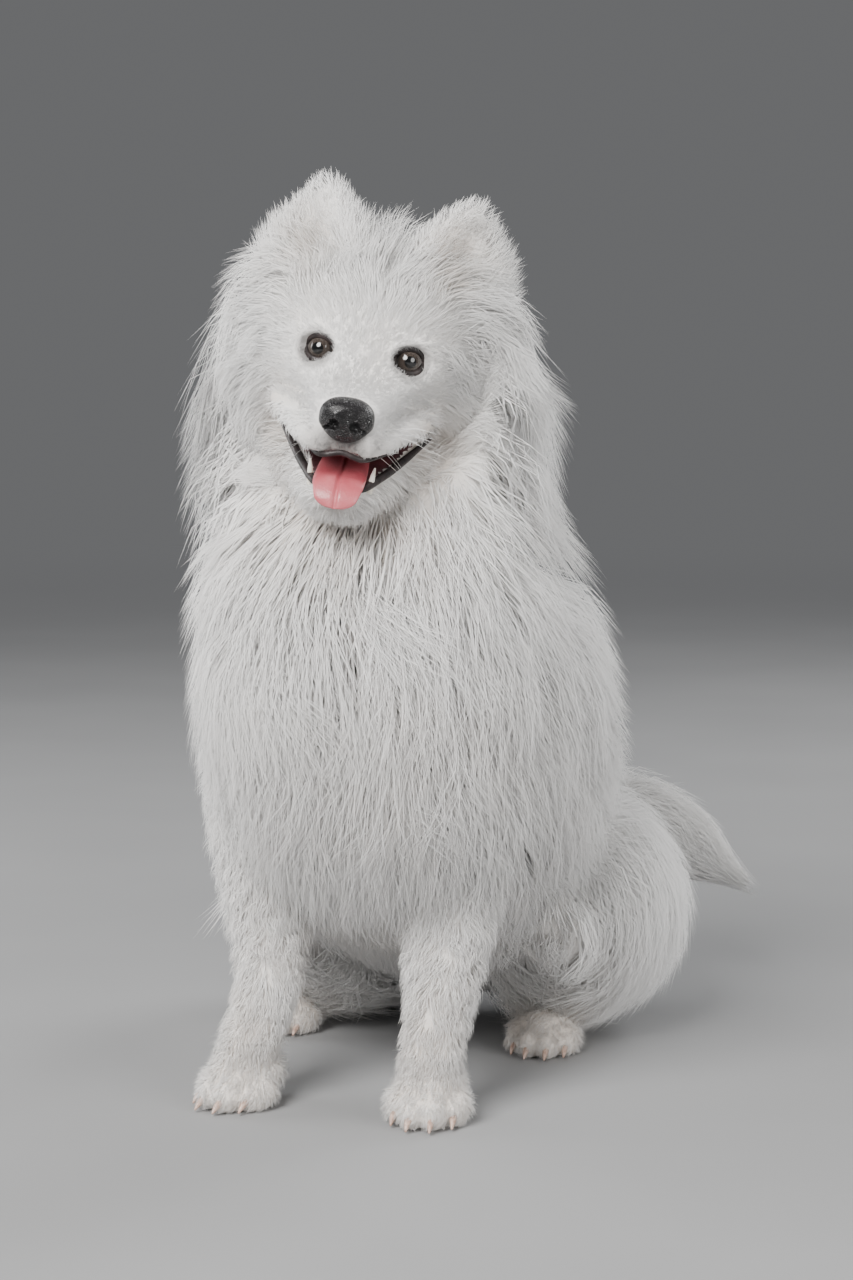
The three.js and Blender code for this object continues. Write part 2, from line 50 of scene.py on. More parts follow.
HEAD = {"at": (25, 20, 548), "yaw": 15, "roll": 8.6, "pitch": 2}
EYE = {"radius": 11.3, "at": (30, 2, 0), "outward": 16}
EYE_OPENING = {"half_width": 10.8, "half_height": 8.2, "slant": 4}
MOUTH_BACK = 8
UPPER_LIP_LINE = [(8, -46), (-12, -52), (-40, -59), (-68, -63), (-110, -67)]
LOWER_LIP_LINE = [(8, -48), (-22, -69), (-64, -86), (-110, -94)]
UPPER_LIP = [(54, 7, -47), (45, -12, -52), (32, -42, -59), (24, -64, -63), (13, -82, -66), (0, -84, -63)]
LOWER_LIP = [(54, 5, -52), (38, -24, -69), (26, -50, -80), (15, -68, -87), (0, -73, -88)]
LIP_RADIUS = 2.6
PAWS = {
    "forepaw_left": {"at": (72, 24), "turn": 6, "scale": 1.0},
    "forepaw_right": {"at": (-72, 24), "turn": -20, "scale": 1.0},
    "hind_foot_left": {"at": (97, 240), "turn": 4, "scale": 0.94},
    "hind_foot_right": {"at": (-120, 244), "turn": -10, "scale": 0.94},
}
TOES = [(-21, -8), (-8, -21), (8, -21), (21, -8)]

FACE = [
    (0, -84, -41, 15, 11, 24, 0),
    (0, -72, -38, 23, 13, 34, 0),
    (0, -50, -33, 28, 13, 40, 1),
    (0, -28, -25, 34, 14, 42, 2),
    (0, -8, -17, 46, 27, 48, 4),
    (0, 16, -12, 60, 52, 72, 12),
    (0, 44, -8, 66, 55, 78, 34),
    (0, 80, -2, 62, 48, 72, 58),
    (0, 108, 2, 46, 36, 54, 62),
    (0, 124, 4, 22, 18, 26, 56),
]
JAW = [
    (0, -72, -97, 12, 7, 8),
    (0, -60, -95, 20, 12, 14),
    (0, -36, -88, 28, 18, 19),
    (0, -10, -78, 41, 24, 26),
    (0, 12, -68, 53, 28, 34),
    (0, 30, -62, 50, 24, 34),
]
TONGUE = [
    (0, 14, -58, 14, 3, 4),
    (0, -26, -70, 17, 3.4, 4),
    (0, -58, -80, 19.5, 3.4, 3.6),
    (0, -76, -86, 20, 3.4, 3.4),
    (0, -83, -94, 18, 3, 3),
    (0, -85, -101, 16, 2, 2),
]
NOSE = [
    (0, -95, -42, 10, 7, 10),
    (0, -91, -41, 17, 12, 15),
    (0, -83, -39, 19, 14, 17),
    (0, -74, -37, 16, 12, 12),
]
EAR = {"root": (46, 68, 50), "turn": 22, "lean": {1: 3, -1: -9}}
EAR_SKIN = 0.86  # of the ear's height, below its hair
EAR_SHELL = [
    (44, 68, 30, 42, 20, 26, 2),
    (47, 70, 56, 41, 16, 22, 2),
    (50, 71, 80, 35, 13, 17, 2),
    (53, 72, 102, 25, 10, 13, 2),
    (56, 72, 118, 14, 7, 8, 2),
    (57, 72, 127, 6, 4, 4.5, 1),
]
EAR_CUP = [
    (48, 50, 46, 16, 9, 8),
    (51, 52, 62, 22, 10, 10),
    (54, 56, 84, 18, 10, 9),
    (57, 61, 103, 9, 8, 6),
    (59, 66, 114, 3, 5, 4),
]
BODY = [
    (12, 78, 598, 36, 42, 0, 46, 0),
    (7, 82, 566, 62, 54, 0, 64, 0),
    (2, 84, 520, 70, 62, 4, 70, 0),
    (4, 84, 472, 74, 72, 26, 68, 10),
    (8, 80, 430, 76, 80, 58, 60, 40),
    (14, 86, 382, 86, 86, 86, 54, 60),
    (21, 110, 322, 100, 100, 106, 52, 64),
    (20, 150, 258, 104, 102, 112, 50, 62),
    (16, 202, 200, 96, 94, 96, 48, 46),
    (12, 256, 148, 82, 86, 78, 44, 32),
    (8, 308, 104, 72, 72, 62, 42, 18),
    (6, 344, 80, 46, 44, 46, 40, 16),
]
THIGH = [
    (118, 176, 110, 16, 22, 22, 22),
    (114, 196, 116, 32, 42, 40, 34),
    (106, 238, 120, 46, 58, 56, 42),
    (94, 296, 110, 56, 64, 60, 42),
    (86, 350, 92, 56, 58, 52, 42),
    (84, 390, 74, 42, 44, 42, 38),
    (83, 408, 64, 20, 22, 22, 30),
]
FORELEGS = {
    1: [
        (62, 70, 300, 34, 40, 38, 10),
        (70, 88, 240, 33, 38, 32, 14),
        (74, 84, 205, 31, 34, 27, 14),
        (74, 64, 150, 25, 26, 23, 11),
        (74, 48, 104, 20, 21, 19, 8),
        (73, 38, 74, 18, 18, 18, 5),
        (72, 28, 46, 17, 15, 15, 4),
        (72, 22, 28, 17, 13, 14, 4),
    ],
    -1: [
        (-64, 70, 300, 34, 40, 38, 10),
        (-76, 88, 240, 33, 38, 32, 14),
        (-74, 82, 205, 30, 33, 26, 14),
        (-66, 64, 150, 23, 25, 22, 11),
        (-60, 48, 104, 18, 19, 18, 7),
        (-60, 38, 78, 17, 17, 17, 5),
        (-68, 28, 46, 17, 15, 15, 4),
        (-72, 22, 28, 17, 13, 14, 4),
    ],
}
METATARSUS = {
    "hind_foot_left": [
        (106, 358, 24, 12, 14, 14),
        (106, 344, 24, 19, 22, 26),
        (102, 300, 20, 18, 18, 22),
        (98, 256, 18, 19, 18, 20),
        (97, 236, 18, 19, 17, 20),
    ],
    "hind_foot_right": [
        (-90, 358, 24, 12, 14, 14),
        (-92, 344, 24, 19, 22, 26),
        (-102, 300, 20, 18, 18, 22),
        (-115, 258, 18, 19, 18, 20),
        (-119, 240, 18, 19, 17, 20),
    ],
}
TAIL = [
    (0, 352, 96, 18, 18, 18, 24),
    (42, 404, 136, 16, 16, 16, 30),
    (96, 444, 150, 14, 14, 14, 30),
    (150, 474, 130, 10, 10, 10, 22),
    (190, 494, 100, 4, 4, 4, 6),
]


# Frames
def turned(x=0.0, y=0.0, z=0.0):
    """The rotation by degrees about x, then y, then z."""
    a, b, c = (math.radians(v) for v in (x, y, z))
    rx = np.array([[1, 0, 0], [0, math.cos(a), -math.sin(a)], [0, math.sin(a), math.cos(a)]])
    ry = np.array([[math.cos(b), 0, math.sin(b)], [0, 1, 0], [-math.sin(b), 0, math.cos(b)]])
    rz = np.array([[math.cos(c), -math.sin(c), 0], [math.sin(c), math.cos(c), 0], [0, 0, 1]])
    return rz @ ry @ rx


HEAD_TURN = turned(HEAD["pitch"], HEAD["roll"], HEAD["yaw"])
HEAD_AT = np.array(HEAD["at"], float)


def from_head(points):
    return np.asarray(points, float) @ HEAD_TURN.T + HEAD_AT


def to_head(points):
    return (np.asarray(points, float) - HEAD_AT) @ HEAD_TURN


def middle_of(node):
    low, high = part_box(node)
    return (np.array(low) + np.array(high)) / 2


def eye_middle(side):
    """The middle of an eye in the head's frame."""
    return np.array((side * EYE["at"][0], *EYE["at"][1:]), float)


EYES_MADE = sum(from_head([eye_middle(s)])[0] for s in (-1, 1)) / 2
SHIFT = (middle_of("eye_left") + middle_of("eye_right")) / 2 * 1000 - EYES_MADE
SHIFT[2] = 0  # the floor is at 0 in both frames


def to_scene(points):
    return (np.asarray(points, float) + SHIFT) * 0.001


def unit(v):
    return v / np.maximum(np.linalg.norm(v, axis=-1, keepdims=True), 1e-9)


def smoothstep(x, low, high):
    s = np.clip((x - low) / (high - low), 0, 1)
    return s * s * (3 - 2 * s)


# Limbs
def spline(points, t, centripetal):
    """A smooth curve through points, evenly spaced in t from 0 to 1."""
    p = np.asarray(points, float)
    padded = np.vstack([2 * p[0] - p[1], p, 2 * p[-1] - p[-2]])
    x = np.clip(t, 0, 1) * (len(p) - 1)
    i = np.minimum(x.astype(int), len(p) - 2)
    w = (x - i)[:, None]
    p0, p1, p2, p3 = padded[i], padded[i + 1], padded[i + 2], padded[i + 3]
    if centripetal:
        d0, d1, d2 = (np.maximum(((b - a) ** 2).sum(1, keepdims=True) ** 0.25, 1e-3)
                      for a, b in ((p0, p1), (p1, p2), (p2, p3)))
        m1 = ((p1 - p0) / d0 - (p2 - p0) / (d0 + d1) + (p2 - p1) / d1) * d1
        m2 = ((p2 - p1) / d1 - (p3 - p1) / (d1 + d2) + (p3 - p2) / d2) * d1
    else:
        m1, m2 = (p2 - p0) / 2, (p3 - p1) / 2
    return p1 + m1 * w + (3 * p2 - 3 * p1 - 2 * m1 - m2) * w**2 + (2 * p1 - 2 * p2 + m1 + m2) * w**3


class Limb:
    """A rounded tube through stations, as in the solids, kept as a table over t."""

    ROWS = 600

    def __init__(self, stations, across=(1, 0, 0), square=2.0, head=False):
        full = [list(s) + [0] * (7 - len(s)) for s in stations]
        centres = [s[:3] for s in full]
        skin = [s[3:6] for s in full]
        coat = [[s[6], s[6], s[7] if len(s) > 7 else s[6]] for s in full]
        t = np.linspace(0, 1, self.ROWS + 1)
        centre = spline(centres, t, True)
        along = unit(spline(centres, t + 1e-4, True) - spline(centres, t - 1e-4, True))
        across = np.array(across, float)
        side = unit(across - along * (along @ across)[:, None])
        self.table = np.hstack([centre, along, side, np.cross(side, along),
                                spline(skin, t, False), spline(coat, t, False)])
        self.length = np.linalg.norm(np.diff(centre, axis=0), axis=1).sum()
        self.power = 2 / square
        self.head = head
        self.taper = 0.0

    def at(self, t):
        x = np.clip(t, 0, 1) * self.ROWS
        i = np.minimum(x.astype(int), self.ROWS - 1)
        w = (x - i)[:, None]
        row = self.table[i] * (1 - w) + self.table[i + 1] * w
        return [row[:, k:k + 3] for k in range(0, 18, 3)]

    def surface(self, t, angle, share=0.0, extra=0.0):
        """Points at t and an angle round the limb, at a share of the coat and some distance more."""
        t, angle = np.broadcast_arrays(np.asarray(t, float), np.asarray(angle, float))
        centre, along, side, dorsal, skin, coat = self.at(t)
        share = np.broadcast_to(share, t.shape)[:, None]
        extra = np.broadcast_to(extra, t.shape)[:, None]
        reach = skin + coat * share + extra
        reach = reach * (1 - self.taper * smoothstep(t, 0.84, 1.12))[:, None]
        c, s = np.cos(angle), np.sin(angle)
        x = np.sign(c) * np.abs(c) ** self.power * reach[:, 0]
        z = np.sign(s) * np.abs(s) ** self.power * np.where(s > 0, reach[:, 1], reach[:, 2])
        past = (t - np.clip(t, 0, 1)) * self.length
        return centre + side * x[:, None] + dorsal * z[:, None] + along * past[:, None]

    def depth(self, t, angle):
        """The coat's depth."""
        coat = self.at(t)[5]
        below = smoothstep(-np.sin(angle), -0.2, 0.6)
        return coat[:, 0] * (1 - below) + coat[:, 2] * below

    def ways(self, t, angle, share):
        step = 0.01
        along = (self.surface(t + step, angle, share) - self.surface(t - step, angle, share)) / (2 * step)
        round_ = (self.surface(t, angle + step, share) - self.surface(t, angle - step, share)) / (2 * step)
        return unit(np.cross(along, round_)), along, round_

    def place(self, points):
        return from_head(points) if self.head else np.asarray(points, float)

    def local(self, points):
        return to_head(points) if self.head else points

    def turn(self, ways):
        return ways @ HEAD_TURN.T if self.head else ways

    def holds(self, points, share, extra=0.0):
        """Whether points in the body's frame lie inside the limb."""
        points = self.local(points)
        inside = np.zeros(len(points), bool)
        slices = 30
        reach = self.length / slices
        for i in range(slices + 1):
            centre, along, side, dorsal, skin, coat = (v[0] for v in self.at(np.array([i / slices])))
            size = np.maximum(skin + coat * share + extra, 0.1)
            offset = points - centre
            upright = offset @ dorsal
            x = np.abs(offset @ side) / size[0]
            z = np.abs(upright) / np.where(upright > 0, size[1], size[2])
            near = np.abs(offset @ along) <= reach + extra
            inside |= near & (x ** (2 / self.power) + z ** (2 / self.power) < 1)
        return inside

    def mesh(self, sides, steps, share=0.0, grow=0.0):
        """The closed surface as points in the body's frame and faces."""
        t = np.repeat(np.linspace(0, 1, steps + 1), sides)
        angle = np.tile(np.arange(sides) * 2 * math.pi / sides, steps + 1)
        points = self.surface(t, angle, share, grow)
        faces = ring_faces(steps, sides)
        caps = []
        for end, first, way in ((0.0, 0, -1), (1.0, steps * sides, 1)):
            centre, along, _, _, skin, coat = (v[0] for v in self.at(np.array([end])))
            bulge = 0.3 * min(skin[0] + coat[0] * share, skin[1] + coat[1] * share) + grow
            caps.append(centre + along * way * bulge)
            top = len(points) + len(caps) - 1
            for j in range(sides):
                edge = (first + j, first + (j + 1) % sides)
                faces.append((top, *edge) if way < 0 else (top, *edge[::-1]))
        return self.place(np.vstack([points, caps])), faces


def ring_faces(rows, sides, outward=True):
    """Faces between rings of points that follow one another."""
    faces = []
    for i in range(rows):
        for j in range(sides):
            a, b = i * sides + j, i * sides + (j + 1) % sides
            faces.append((a, a + sides, b + sides, b) if outward else (a, b, b + sides, a + sides))
    return faces


def other_side(stations, inward=0):
    return [(inward - s[0], *s[1:]) for s in stations]


def ear_limb(stations, side, height=1.0):
    lean = turned(y=side * EAR["lean"][side])
    root = np.array((side * EAR["root"][0], *EAR["root"][1:]), float)
    leant = []
    for x, y, z, *size in stations:
        z = EAR_SHELL[0][2] + (z - EAR_SHELL[0][2]) * height
        centre = lean @ (np.array((side * x, y, z)) - root) + root
        leant.append((*centre, *size))
    facing = math.radians(side * EAR["turn"])
    return Limb(leant, across=(math.cos(facing), math.sin(facing), 0), head=True)


face = Limb(FACE, square=2.3, head=True)
jaw = Limb(JAW, square=2.3, head=True)
ears = {s: ear_limb(EAR_SHELL, s) for s in (1, -1)}
ear_skins = {s: ear_limb(EAR_SHELL, s, EAR_SKIN) for s in (1, -1)}
ear_cups = {s: ear_limb(EAR_CUP, s, EAR_SKIN) for s in (1, -1)}
body = Limb(BODY, square=2.15)
thighs = {1: Limb(THIGH), -1: Limb(other_side(THIGH, 20))}
forelegs = {s: Limb(FORELEGS[s]) for s in (1, -1)}
metatarsi = {name: Limb(rows) for name, rows in METATARSUS.items()}
tail = Limb(TAIL, across=(0.8, -0.6, 0))
tail.taper = 0.62


# Meshes
def mesh_object(name, points, faces, materials=()):
    mesh = bpy.data.meshes.new(name)
    mesh.from_pydata([tuple(p) for p in to_scene(points)], [], [tuple(f) for f in faces])
    mesh.update()
    for material in materials:
        mesh.materials.append(material)
    return placed(name, mesh)


def placed(name, mesh):
    """A smooth object in the scene."""
    thing = bpy.data.objects.new(name, mesh)
    bpy.context.scene.collection.objects.link(thing)
    smoothed(thing)
    return thing


def smoothed(thing):
    thing.data.polygons.foreach_set("use_smooth", np.ones(len(thing.data.polygons), bool))


def read(items, name, width=1):
    """One value of every point or face of a mesh, a row for each."""
    values = np.empty(len(items) * width)
    items.foreach_get(name, values)
    return values.reshape(-1, width)


def ball(centre, size, turn=(0, 0, 0), sides=32, rings=20):
    """A ball stretched by size and turned by degrees."""
    points, faces = [], []
    rotation = turned(*turn)
    for i in range(1, rings):
        a = math.pi * i / rings
        for j in range(sides):
            b = 2 * math.pi * j / sides
            points.append((math.sin(a) * math.cos(b), math.sin(a) * math.sin(b), math.cos(a)))
    points += [(0, 0, 1), (0, 0, -1)]
    top, bottom = len(points) - 2, len(points) - 1
    for j in range(sides):
        k = (j + 1) % sides
        faces.append((top, j, k))
        for i in range(rings - 2):
            a, b = i * sides, (i + 1) * sides
            faces.append((a + j, b + j, b + k, a + k))
        faces.append((bottom, (rings - 2) * sides + k, (rings - 2) * sides + j))
    points = (np.array(points) * np.array(size)) @ rotation.T + np.array(centre)
    return points, faces


def prism(outline, half_width):
    """A prism across the head from a profile of (y, z) points."""
    n = len(outline)
    points = [(x, y, z) for x in (-half_width, half_width) for y, z in outline]
    faces = [tuple(range(n)), tuple(range(2 * n - 1, n - 1, -1))]
    faces += [(i, n + i, n + (i + 1) % n, (i + 1) % n) for i in range(n)]
    return from_head(points), faces


def apply_modifier(thing, kind, **settings):
    modifier = thing.modifiers.new(kind.title(), kind)
    for key, value in settings.items():
        setattr(modifier, key, value)
    bpy.context.view_layer.objects.active = thing
    with bpy.context.temp_override(object=thing, active_object=thing):
        bpy.ops.object.modifier_apply(modifier=modifier.name)


def recalculated(thing):
    bm = bmesh.new()
    bm.from_mesh(thing.data)
    bmesh.ops.recalc_face_normals(bm, faces=bm.faces)
    bm.to_mesh(thing.data)
    bm.free()
    return thing


def cut(thing, cutter):
    recalculated(thing)
    recalculated(cutter)
    apply_modifier(thing, "BOOLEAN", operation="DIFFERENCE", object=cutter, solver="EXACT")
    bpy.data.objects.remove(cutter)
    return thing


def joined(things, name):
    bpy.ops.object.select_all(action="DESELECT")
    for thing in things:
        thing.select_set(True)
    bpy.context.view_layer.objects.active = things[0]
    bpy.ops.object.join()
    things[0].name = name
    things[0].data.name = name
    return things[0]


# Materials
class Nodes:
    """A short way to write a material's nodes."""

    def __init__(self, name):
        self.material = bpy.data.materials.new(name)
        self.material.use_nodes = True
        self.tree = self.material.node_tree
        self.shader = self.tree.nodes["Principled BSDF"]

    def add(self, kind, inputs=(), **settings):
        node = self.tree.nodes.new(kind)
        for key, value in settings.items():
            setattr(node, key, value)
        for key, value in dict(inputs).items():
            if hasattr(value, "is_output") or isinstance(value, bpy.types.NodeSocket):
                self.tree.links.new(value, node.inputs[key])
            else:
                node.inputs[key].default_value = value
        return node

    def link(self, socket, target):
        self.tree.links.new(socket, self.shader.inputs[target])

    def set(self, **values):
        for key, value in values.items():
            self.shader.inputs[key.replace("_", " ")].default_value = value

    def noise(self, scale, detail=3.0, roughness=0.5, stretch=None):
        place = self.place()
        if stretch:
            place = self.add("ShaderNodeMapping", {"Vector": place, "Scale": stretch}).outputs["Vector"]
        inputs = {"Vector": place, "Scale": scale, "Detail": detail, "Roughness": roughness}
        return self.add("ShaderNodeTexNoise", inputs).outputs["Fac"]

    def place(self):
        return self.add("ShaderNodeTexCoord").outputs["Object"]

    def tint(self):
        """The tint of each point: how far along the hair, chance, cream with painted shade, and grey."""
        tint = self.add("ShaderNodeAttribute", attribute_name="tint")
        parts = self.add("ShaderNodeSeparateColor", {"Color": tint.outputs["Color"]})
        return [*(parts.outputs[k] for k in ("Red", "Green", "Blue")), tint.outputs["Alpha"]]

    def mix(self, factor, a, b):
        return self.add("ShaderNodeMix", {0: factor, 6: a, 7: b}, data_type="RGBA").outputs[2]

    def ramp(self, factor, low, high):
        inputs = {"Value": factor, "From Min": low, "From Max": high}
        return self.add("ShaderNodeMapRange", inputs).outputs["Result"]

    def patches(self, noise, dark, light, low=0.35, high=0.7):
        """Two colours that run into each other along a noise."""
        return self.mix(self.ramp(noise, low, high), dark, light)

    def bump(self, height, distance, strength=1.0, normal=None):
        inputs = {"Height": height, "Distance": distance, "Strength": strength}
        if normal is not None:
            inputs["Normal"] = normal
        return self.add("ShaderNodeBump", inputs).outputs["Normal"]


WHITE = (0.95, 0.94, 0.925, 1)
CREAM_AND_SHADE_COLOUR = (0.66, 0.55, 0.45, 1)
SHADE = (0.84, 0.815, 0.785, 1)
GREY = (0.115, 0.105, 0.105, 1)


def fur_material():
    """White hair that is warmer at the root, with the tint of its place."""
    m = Nodes("samoyed_fur")
    along, chance, cream_and_shade, grey = m.tint()
    tip = m.mix(chance, WHITE, (0.90, 0.885, 0.865, 1))
    root = m.mix(chance, SHADE, (0.88, 0.86, 0.835, 1))
    hair = m.mix(m.ramp(along, 0.0, 0.55), root, tip)
    # cream by place, which also paints shade into folds, under the ruff and on the belly, broken up by noise
    patch = m.ramp(m.noise(30, 2), 0.35, 0.7)
    amount = m.add("ShaderNodeMath", {0: cream_and_shade, 1: m.ramp(patch, -0.6, 1.0)}, operation="MULTIPLY").outputs[0]
    m.link(m.mix(grey, m.mix(amount, hair, CREAM_AND_SHADE_COLOUR), GREY), "Base Color")
    m.set(Roughness=0.62, Sheen_Weight=0.3, Sheen_Roughness=0.4, Specular_IOR_Level=0.3)
    m.set(Subsurface_Weight=0.35, Subsurface_Scale=0.004, Subsurface_Radius=(1.0, 0.95, 0.9))
    return m.material


def skin_material():
    """Short white hair over pale skin."""
    m = Nodes("samoyed_skin")
    _, _, cream_and_shade, grey = m.tint()
    mottled = m.patches(m.noise(60, 4), (0.86, 0.84, 0.815, 1), (0.92, 0.905, 0.885, 1))
    # cream by place, with painted shade in folds and under the ruff, then the grey of dark skin
    m.link(m.mix(grey, m.mix(cream_and_shade, mottled, CREAM_AND_SHADE_COLOUR), GREY), "Base Color")
    m.link(m.bump(m.noise(500, 3, 0.6, stretch=(1, 0.25, 1)), 0.0015, 0.6), "Normal")
    m.set(Roughness=0.8, Sheen_Weight=0.2, Specular_IOR_Level=0.25)
    return m.material


def flesh_material(name, patches, dark, light, grain, depth, strength, **values):
    """Two colours in patches under a fine grain. patches and grain are the scale and detail of a noise."""
    m = Nodes(name)
    m.link(m.patches(m.noise(*patches), dark, light), "Base Color")
    m.link(m.bump(m.noise(*grain), depth, strength), "Normal")
    m.set(**values)
    return m.material


def leather_material():
    """Black skin of the nose, finely pebbled and moist."""
    m = Nodes("samoyed_leather")
    black = m.patches(m.noise(90, 4), (0.008, 0.0075, 0.008, 1), (0.026, 0.024, 0.026, 1), low=0.4)
    m.link(black, "Base Color")
    cells = m.add("ShaderNodeTexVoronoi", {"Vector": m.place(), "Scale": 620.0}, feature="DISTANCE_TO_EDGE")
    pebbles = m.ramp(cells.outputs["Distance"], 0.0, 0.3)
    m.link(m.bump(pebbles, 0.0012, 1.0, m.bump(m.noise(900, 3), 0.0003, 0.4)), "Normal")
    rough = m.add("ShaderNodeMapRange", {"Value": m.noise(120, 3), "To Min": 0.28, "To Max": 0.52})
    m.link(rough.outputs["Result"], "Roughness")
    m.set(Coat_Weight=0.25, Coat_Roughness=0.25)
    return m.material


def tongue_material():
    m = Nodes("samoyed_tongue")
    m.link(m.patches(m.noise(55, 4), (0.46, 0.085, 0.105, 1), (0.60, 0.165, 0.185, 1)), "Base Color")
    cells = m.add("ShaderNodeTexVoronoi", {"Vector": m.place(), "Scale": 1100.0})
    m.link(m.bump(cells.outputs["Distance"], 0.0004, 0.5), "Normal")
    m.set(Roughness=0.36, Coat_Weight=0.35, Coat_Roughness=0.2)
    m.set(Subsurface_Weight=0.15, Subsurface_Radius=(0.004, 0.0015, 0.001))
    return m.material


def claw_material():
    m = Nodes("samoyed_claw")
    streaks = m.noise(500, 3, stretch=(1, 0.2, 1))
    m.link(m.patches(streaks, (0.42, 0.27, 0.21, 1), (0.66, 0.50, 0.42, 1)), "Base Color")
    m.link(m.bump(streaks, 0.0003, 0.5), "Normal")
    m.set(Roughness=0.35, Coat_Weight=0.2)
    return m.material


def eye_material():
    """A dark brown iris round the pupil, set by each vertex's angle from the gaze, from 0 to 1."""
    m = Nodes("samoyed_eye")
    off, ray, _, _ = m.tint()
    place = m.add("ShaderNodeCombineXYZ", {"X": ray, "Y": off})
    rays = m.add("ShaderNodeTexNoise", {"Vector": place.outputs["Vector"], "Scale": 38.0, "Detail": 4.0})
    iris = m.patches(rays.outputs["Fac"], (0.016, 0.011, 0.009, 1), (0.085, 0.066, 0.055, 1))
    ring = m.mix(m.ramp(off, 0.25, 0.28), iris, (0.010, 0.008, 0.008, 1))
    seen = m.mix(m.ramp(off, 0.115, 0.13), (0.003, 0.003, 0.003, 1), ring)
    white = m.patches(m.noise(300, 4), (0.16, 0.13, 0.12, 1), (0.30, 0.26, 0.24, 1), low=0.3)
    m.link(m.mix(m.ramp(off, 0.31, 0.34), seen, white), "Base Color")
    m.set(Roughness=0.12, Coat_Weight=1.0, Coat_Roughness=0.02)
    return m.material


FUR = fur_material()
SKIN = skin_material()
MOUTH = flesh_material("samoyed_mouth", (70, 4), (0.045, 0.016, 0.018, 1), (0.14, 0.045, 0.05, 1),
                       (350, 3), 0.001, 0.5, Roughness=0.4, Coat_Weight=0.3)
LEATHER = leather_material()
LIP = flesh_material("samoyed_lip", (110, 4), (0.010, 0.008, 0.008, 1), (0.042, 0.030, 0.030, 1),
                     (420, 4), 0.0008, 0.7, Roughness=0.5, Coat_Weight=0.1, Specular_IOR_Level=0.3)
TONGUE_SKIN = tongue_material()
TOOTH = flesh_material("samoyed_tooth", (150, 3), (0.80, 0.74, 0.62, 1), (0.90, 0.87, 0.80, 1),
                       (600, 2), 0.0002, 0.4, Roughness=0.25, Coat_Weight=0.4)
CLAW = claw_material()
IRIS = eye_material()


def both_sides(frame_name, at, radii, amount):
    return [(frame_name, (s * at[0], *at[1:]), radii, amount) for s in (1, -1)]


# The cream tint of the coat, with painted shade under the chin and the ruff, beside the brows, down the
# chest, under the belly and between elbow and thigh: the frame, and the place, radii and amount in it
CREAM_AND_PAINTED_SHADE = [
    # cream at the mouth corners, deepened with painted shade in their folds
    *both_sides("head", (56, 8, -58), (24, 26, 28), 0.85),
    # painted shade under the chin
    ("head", (0, -6, -124), (70, 50, 30), 0.6),
    ("head", (0, -78, -62), (22, 16, 12), 0.35),
    ("head", (52, 46, 70), (18, 30, 26), 1.0),
    ("head", (-60, 46, 70), (18, 30, 26), 1.0),
    # painted shade beside the brows, down the middle of the face and in the folds under the eyes
    *both_sides("head", (60, 10, 30), (40, 30, 24), 0.22),
    ("head", (9, -40, 4), (14, 60, 20), 0.22),
    *both_sides("head", (28, 0, -18), (14, 16, 10), 0.3),
    # painted shade under the ruff and on the chest
    ("body", (0, 10, 430), (120, 80, 60), 0.22),
    ("body", (30, 10, 290), (110, 70, 50), 0.35),
    *both_sides("body", (72, 20, 20), (40, 50, 60), 0.6),
    ("body", (98, 240, 16), (50, 60, 50), 0.65),
    ("body", (-118, 240, 16), (50, 60, 50), 0.65),
    # painted shade under the belly
    ("body", (10, 120, 110), (120, 120, 70), 0.35),
    # painted shade in the hollow between the elbow and the thigh
    ("body", (95, 120, 230), (60, 60, 50), 0.35),
]
# Dark skin that shows through short hair, in the same way
GREYS = [
    ("head", (0, -86, -56), (25, 18, 12), 0.95),
    ("head", (52, 50, 70), (10, 26, 20), 0.3),
    ("head", (-60, 50, 70), (10, 26, 20), 0.3),
    *both_sides("head", (56, 4, -50), (9, 10, 8), 0.6),
    *both_sides("head", (20, -12, -3), (5, 8, 5), 0.55),
]
DARK_RIM = 0.6  # the grey round the eyes


def eye_distance(points):
    """Distance from the nearer gaze, with the almond's height stretched to its width."""
    best = np.full(len(points), 1e9)
    for s in (-1, 1):
        turn = math.radians(s * EYE["outward"])
        offset = points - eye_middle(s)
        x = offset[:, 0] * math.cos(turn) + offset[:, 1] * math.sin(turn)
        slant = math.radians(-s * EYE_OPENING["slant"])
        across = x * math.cos(slant) + offset[:, 2] * math.sin(slant)
        up = offset[:, 2] * math.cos(slant) + x * math.sin(slant)
        best = np.minimum(best, np.hypot(across, up * 1.25))
    return best


def tone_of(points, places):
    """The tone that some places give to points in the body's frame."""
    tone = np.zeros(len(points))
    in_head = to_head(points)
    for where, centre, radii, amount in places:
        place = in_head if where == "head" else points
        gap = (((place - np.array(centre)) / np.array(radii)) ** 2).sum(1)
        tone = 1 - (1 - tone) * (1 - amount * np.exp(-gap))
    return tone


def cream_shade_and_grey_at(points):
    """Cream tint, with painted shade in folds and under the ruff, and grey tint at points, as two columns."""
    round_eyes = DARK_RIM * (1 - smoothstep(eye_distance(to_head(points)), 13.5, 20))
    return np.stack([tone_of(points, CREAM_AND_PAINTED_SHADE), np.maximum(tone_of(points, GREYS), round_eyes)], 1)


def set_tint(mesh, values):
    """One colour for each point: how far along the hair, chance, cream tint with painted shade, and grey
    tint.
    """
    layer = mesh.attributes.new("tint", "FLOAT_COLOR", "POINT")
    rows = np.ones((len(mesh.vertices), 4), np.float32)
    rows[:, :values.shape[1]] = values
    layer.data.foreach_set("color", rows.ravel())


# Skin
VOXEL = 0.0022  # of the skin, in metres
SKULL_VOXEL = 0.0014
NOSE_VOXEL = 0.0007
EYE_BED = 13.4  # radius of the flesh round an eyeball
EYE_SOCKET = 12.2
EYE_CUT = (15.6, 14, 11.4)  # half sizes of the opening that is cut in front of an eye
ROOT = 0.33  # of the coat's depth, where the skin of a thick coat lies


def shell(name, limb, **size):
    return mesh_object(name, *limb.mesh(48, 60, **size))


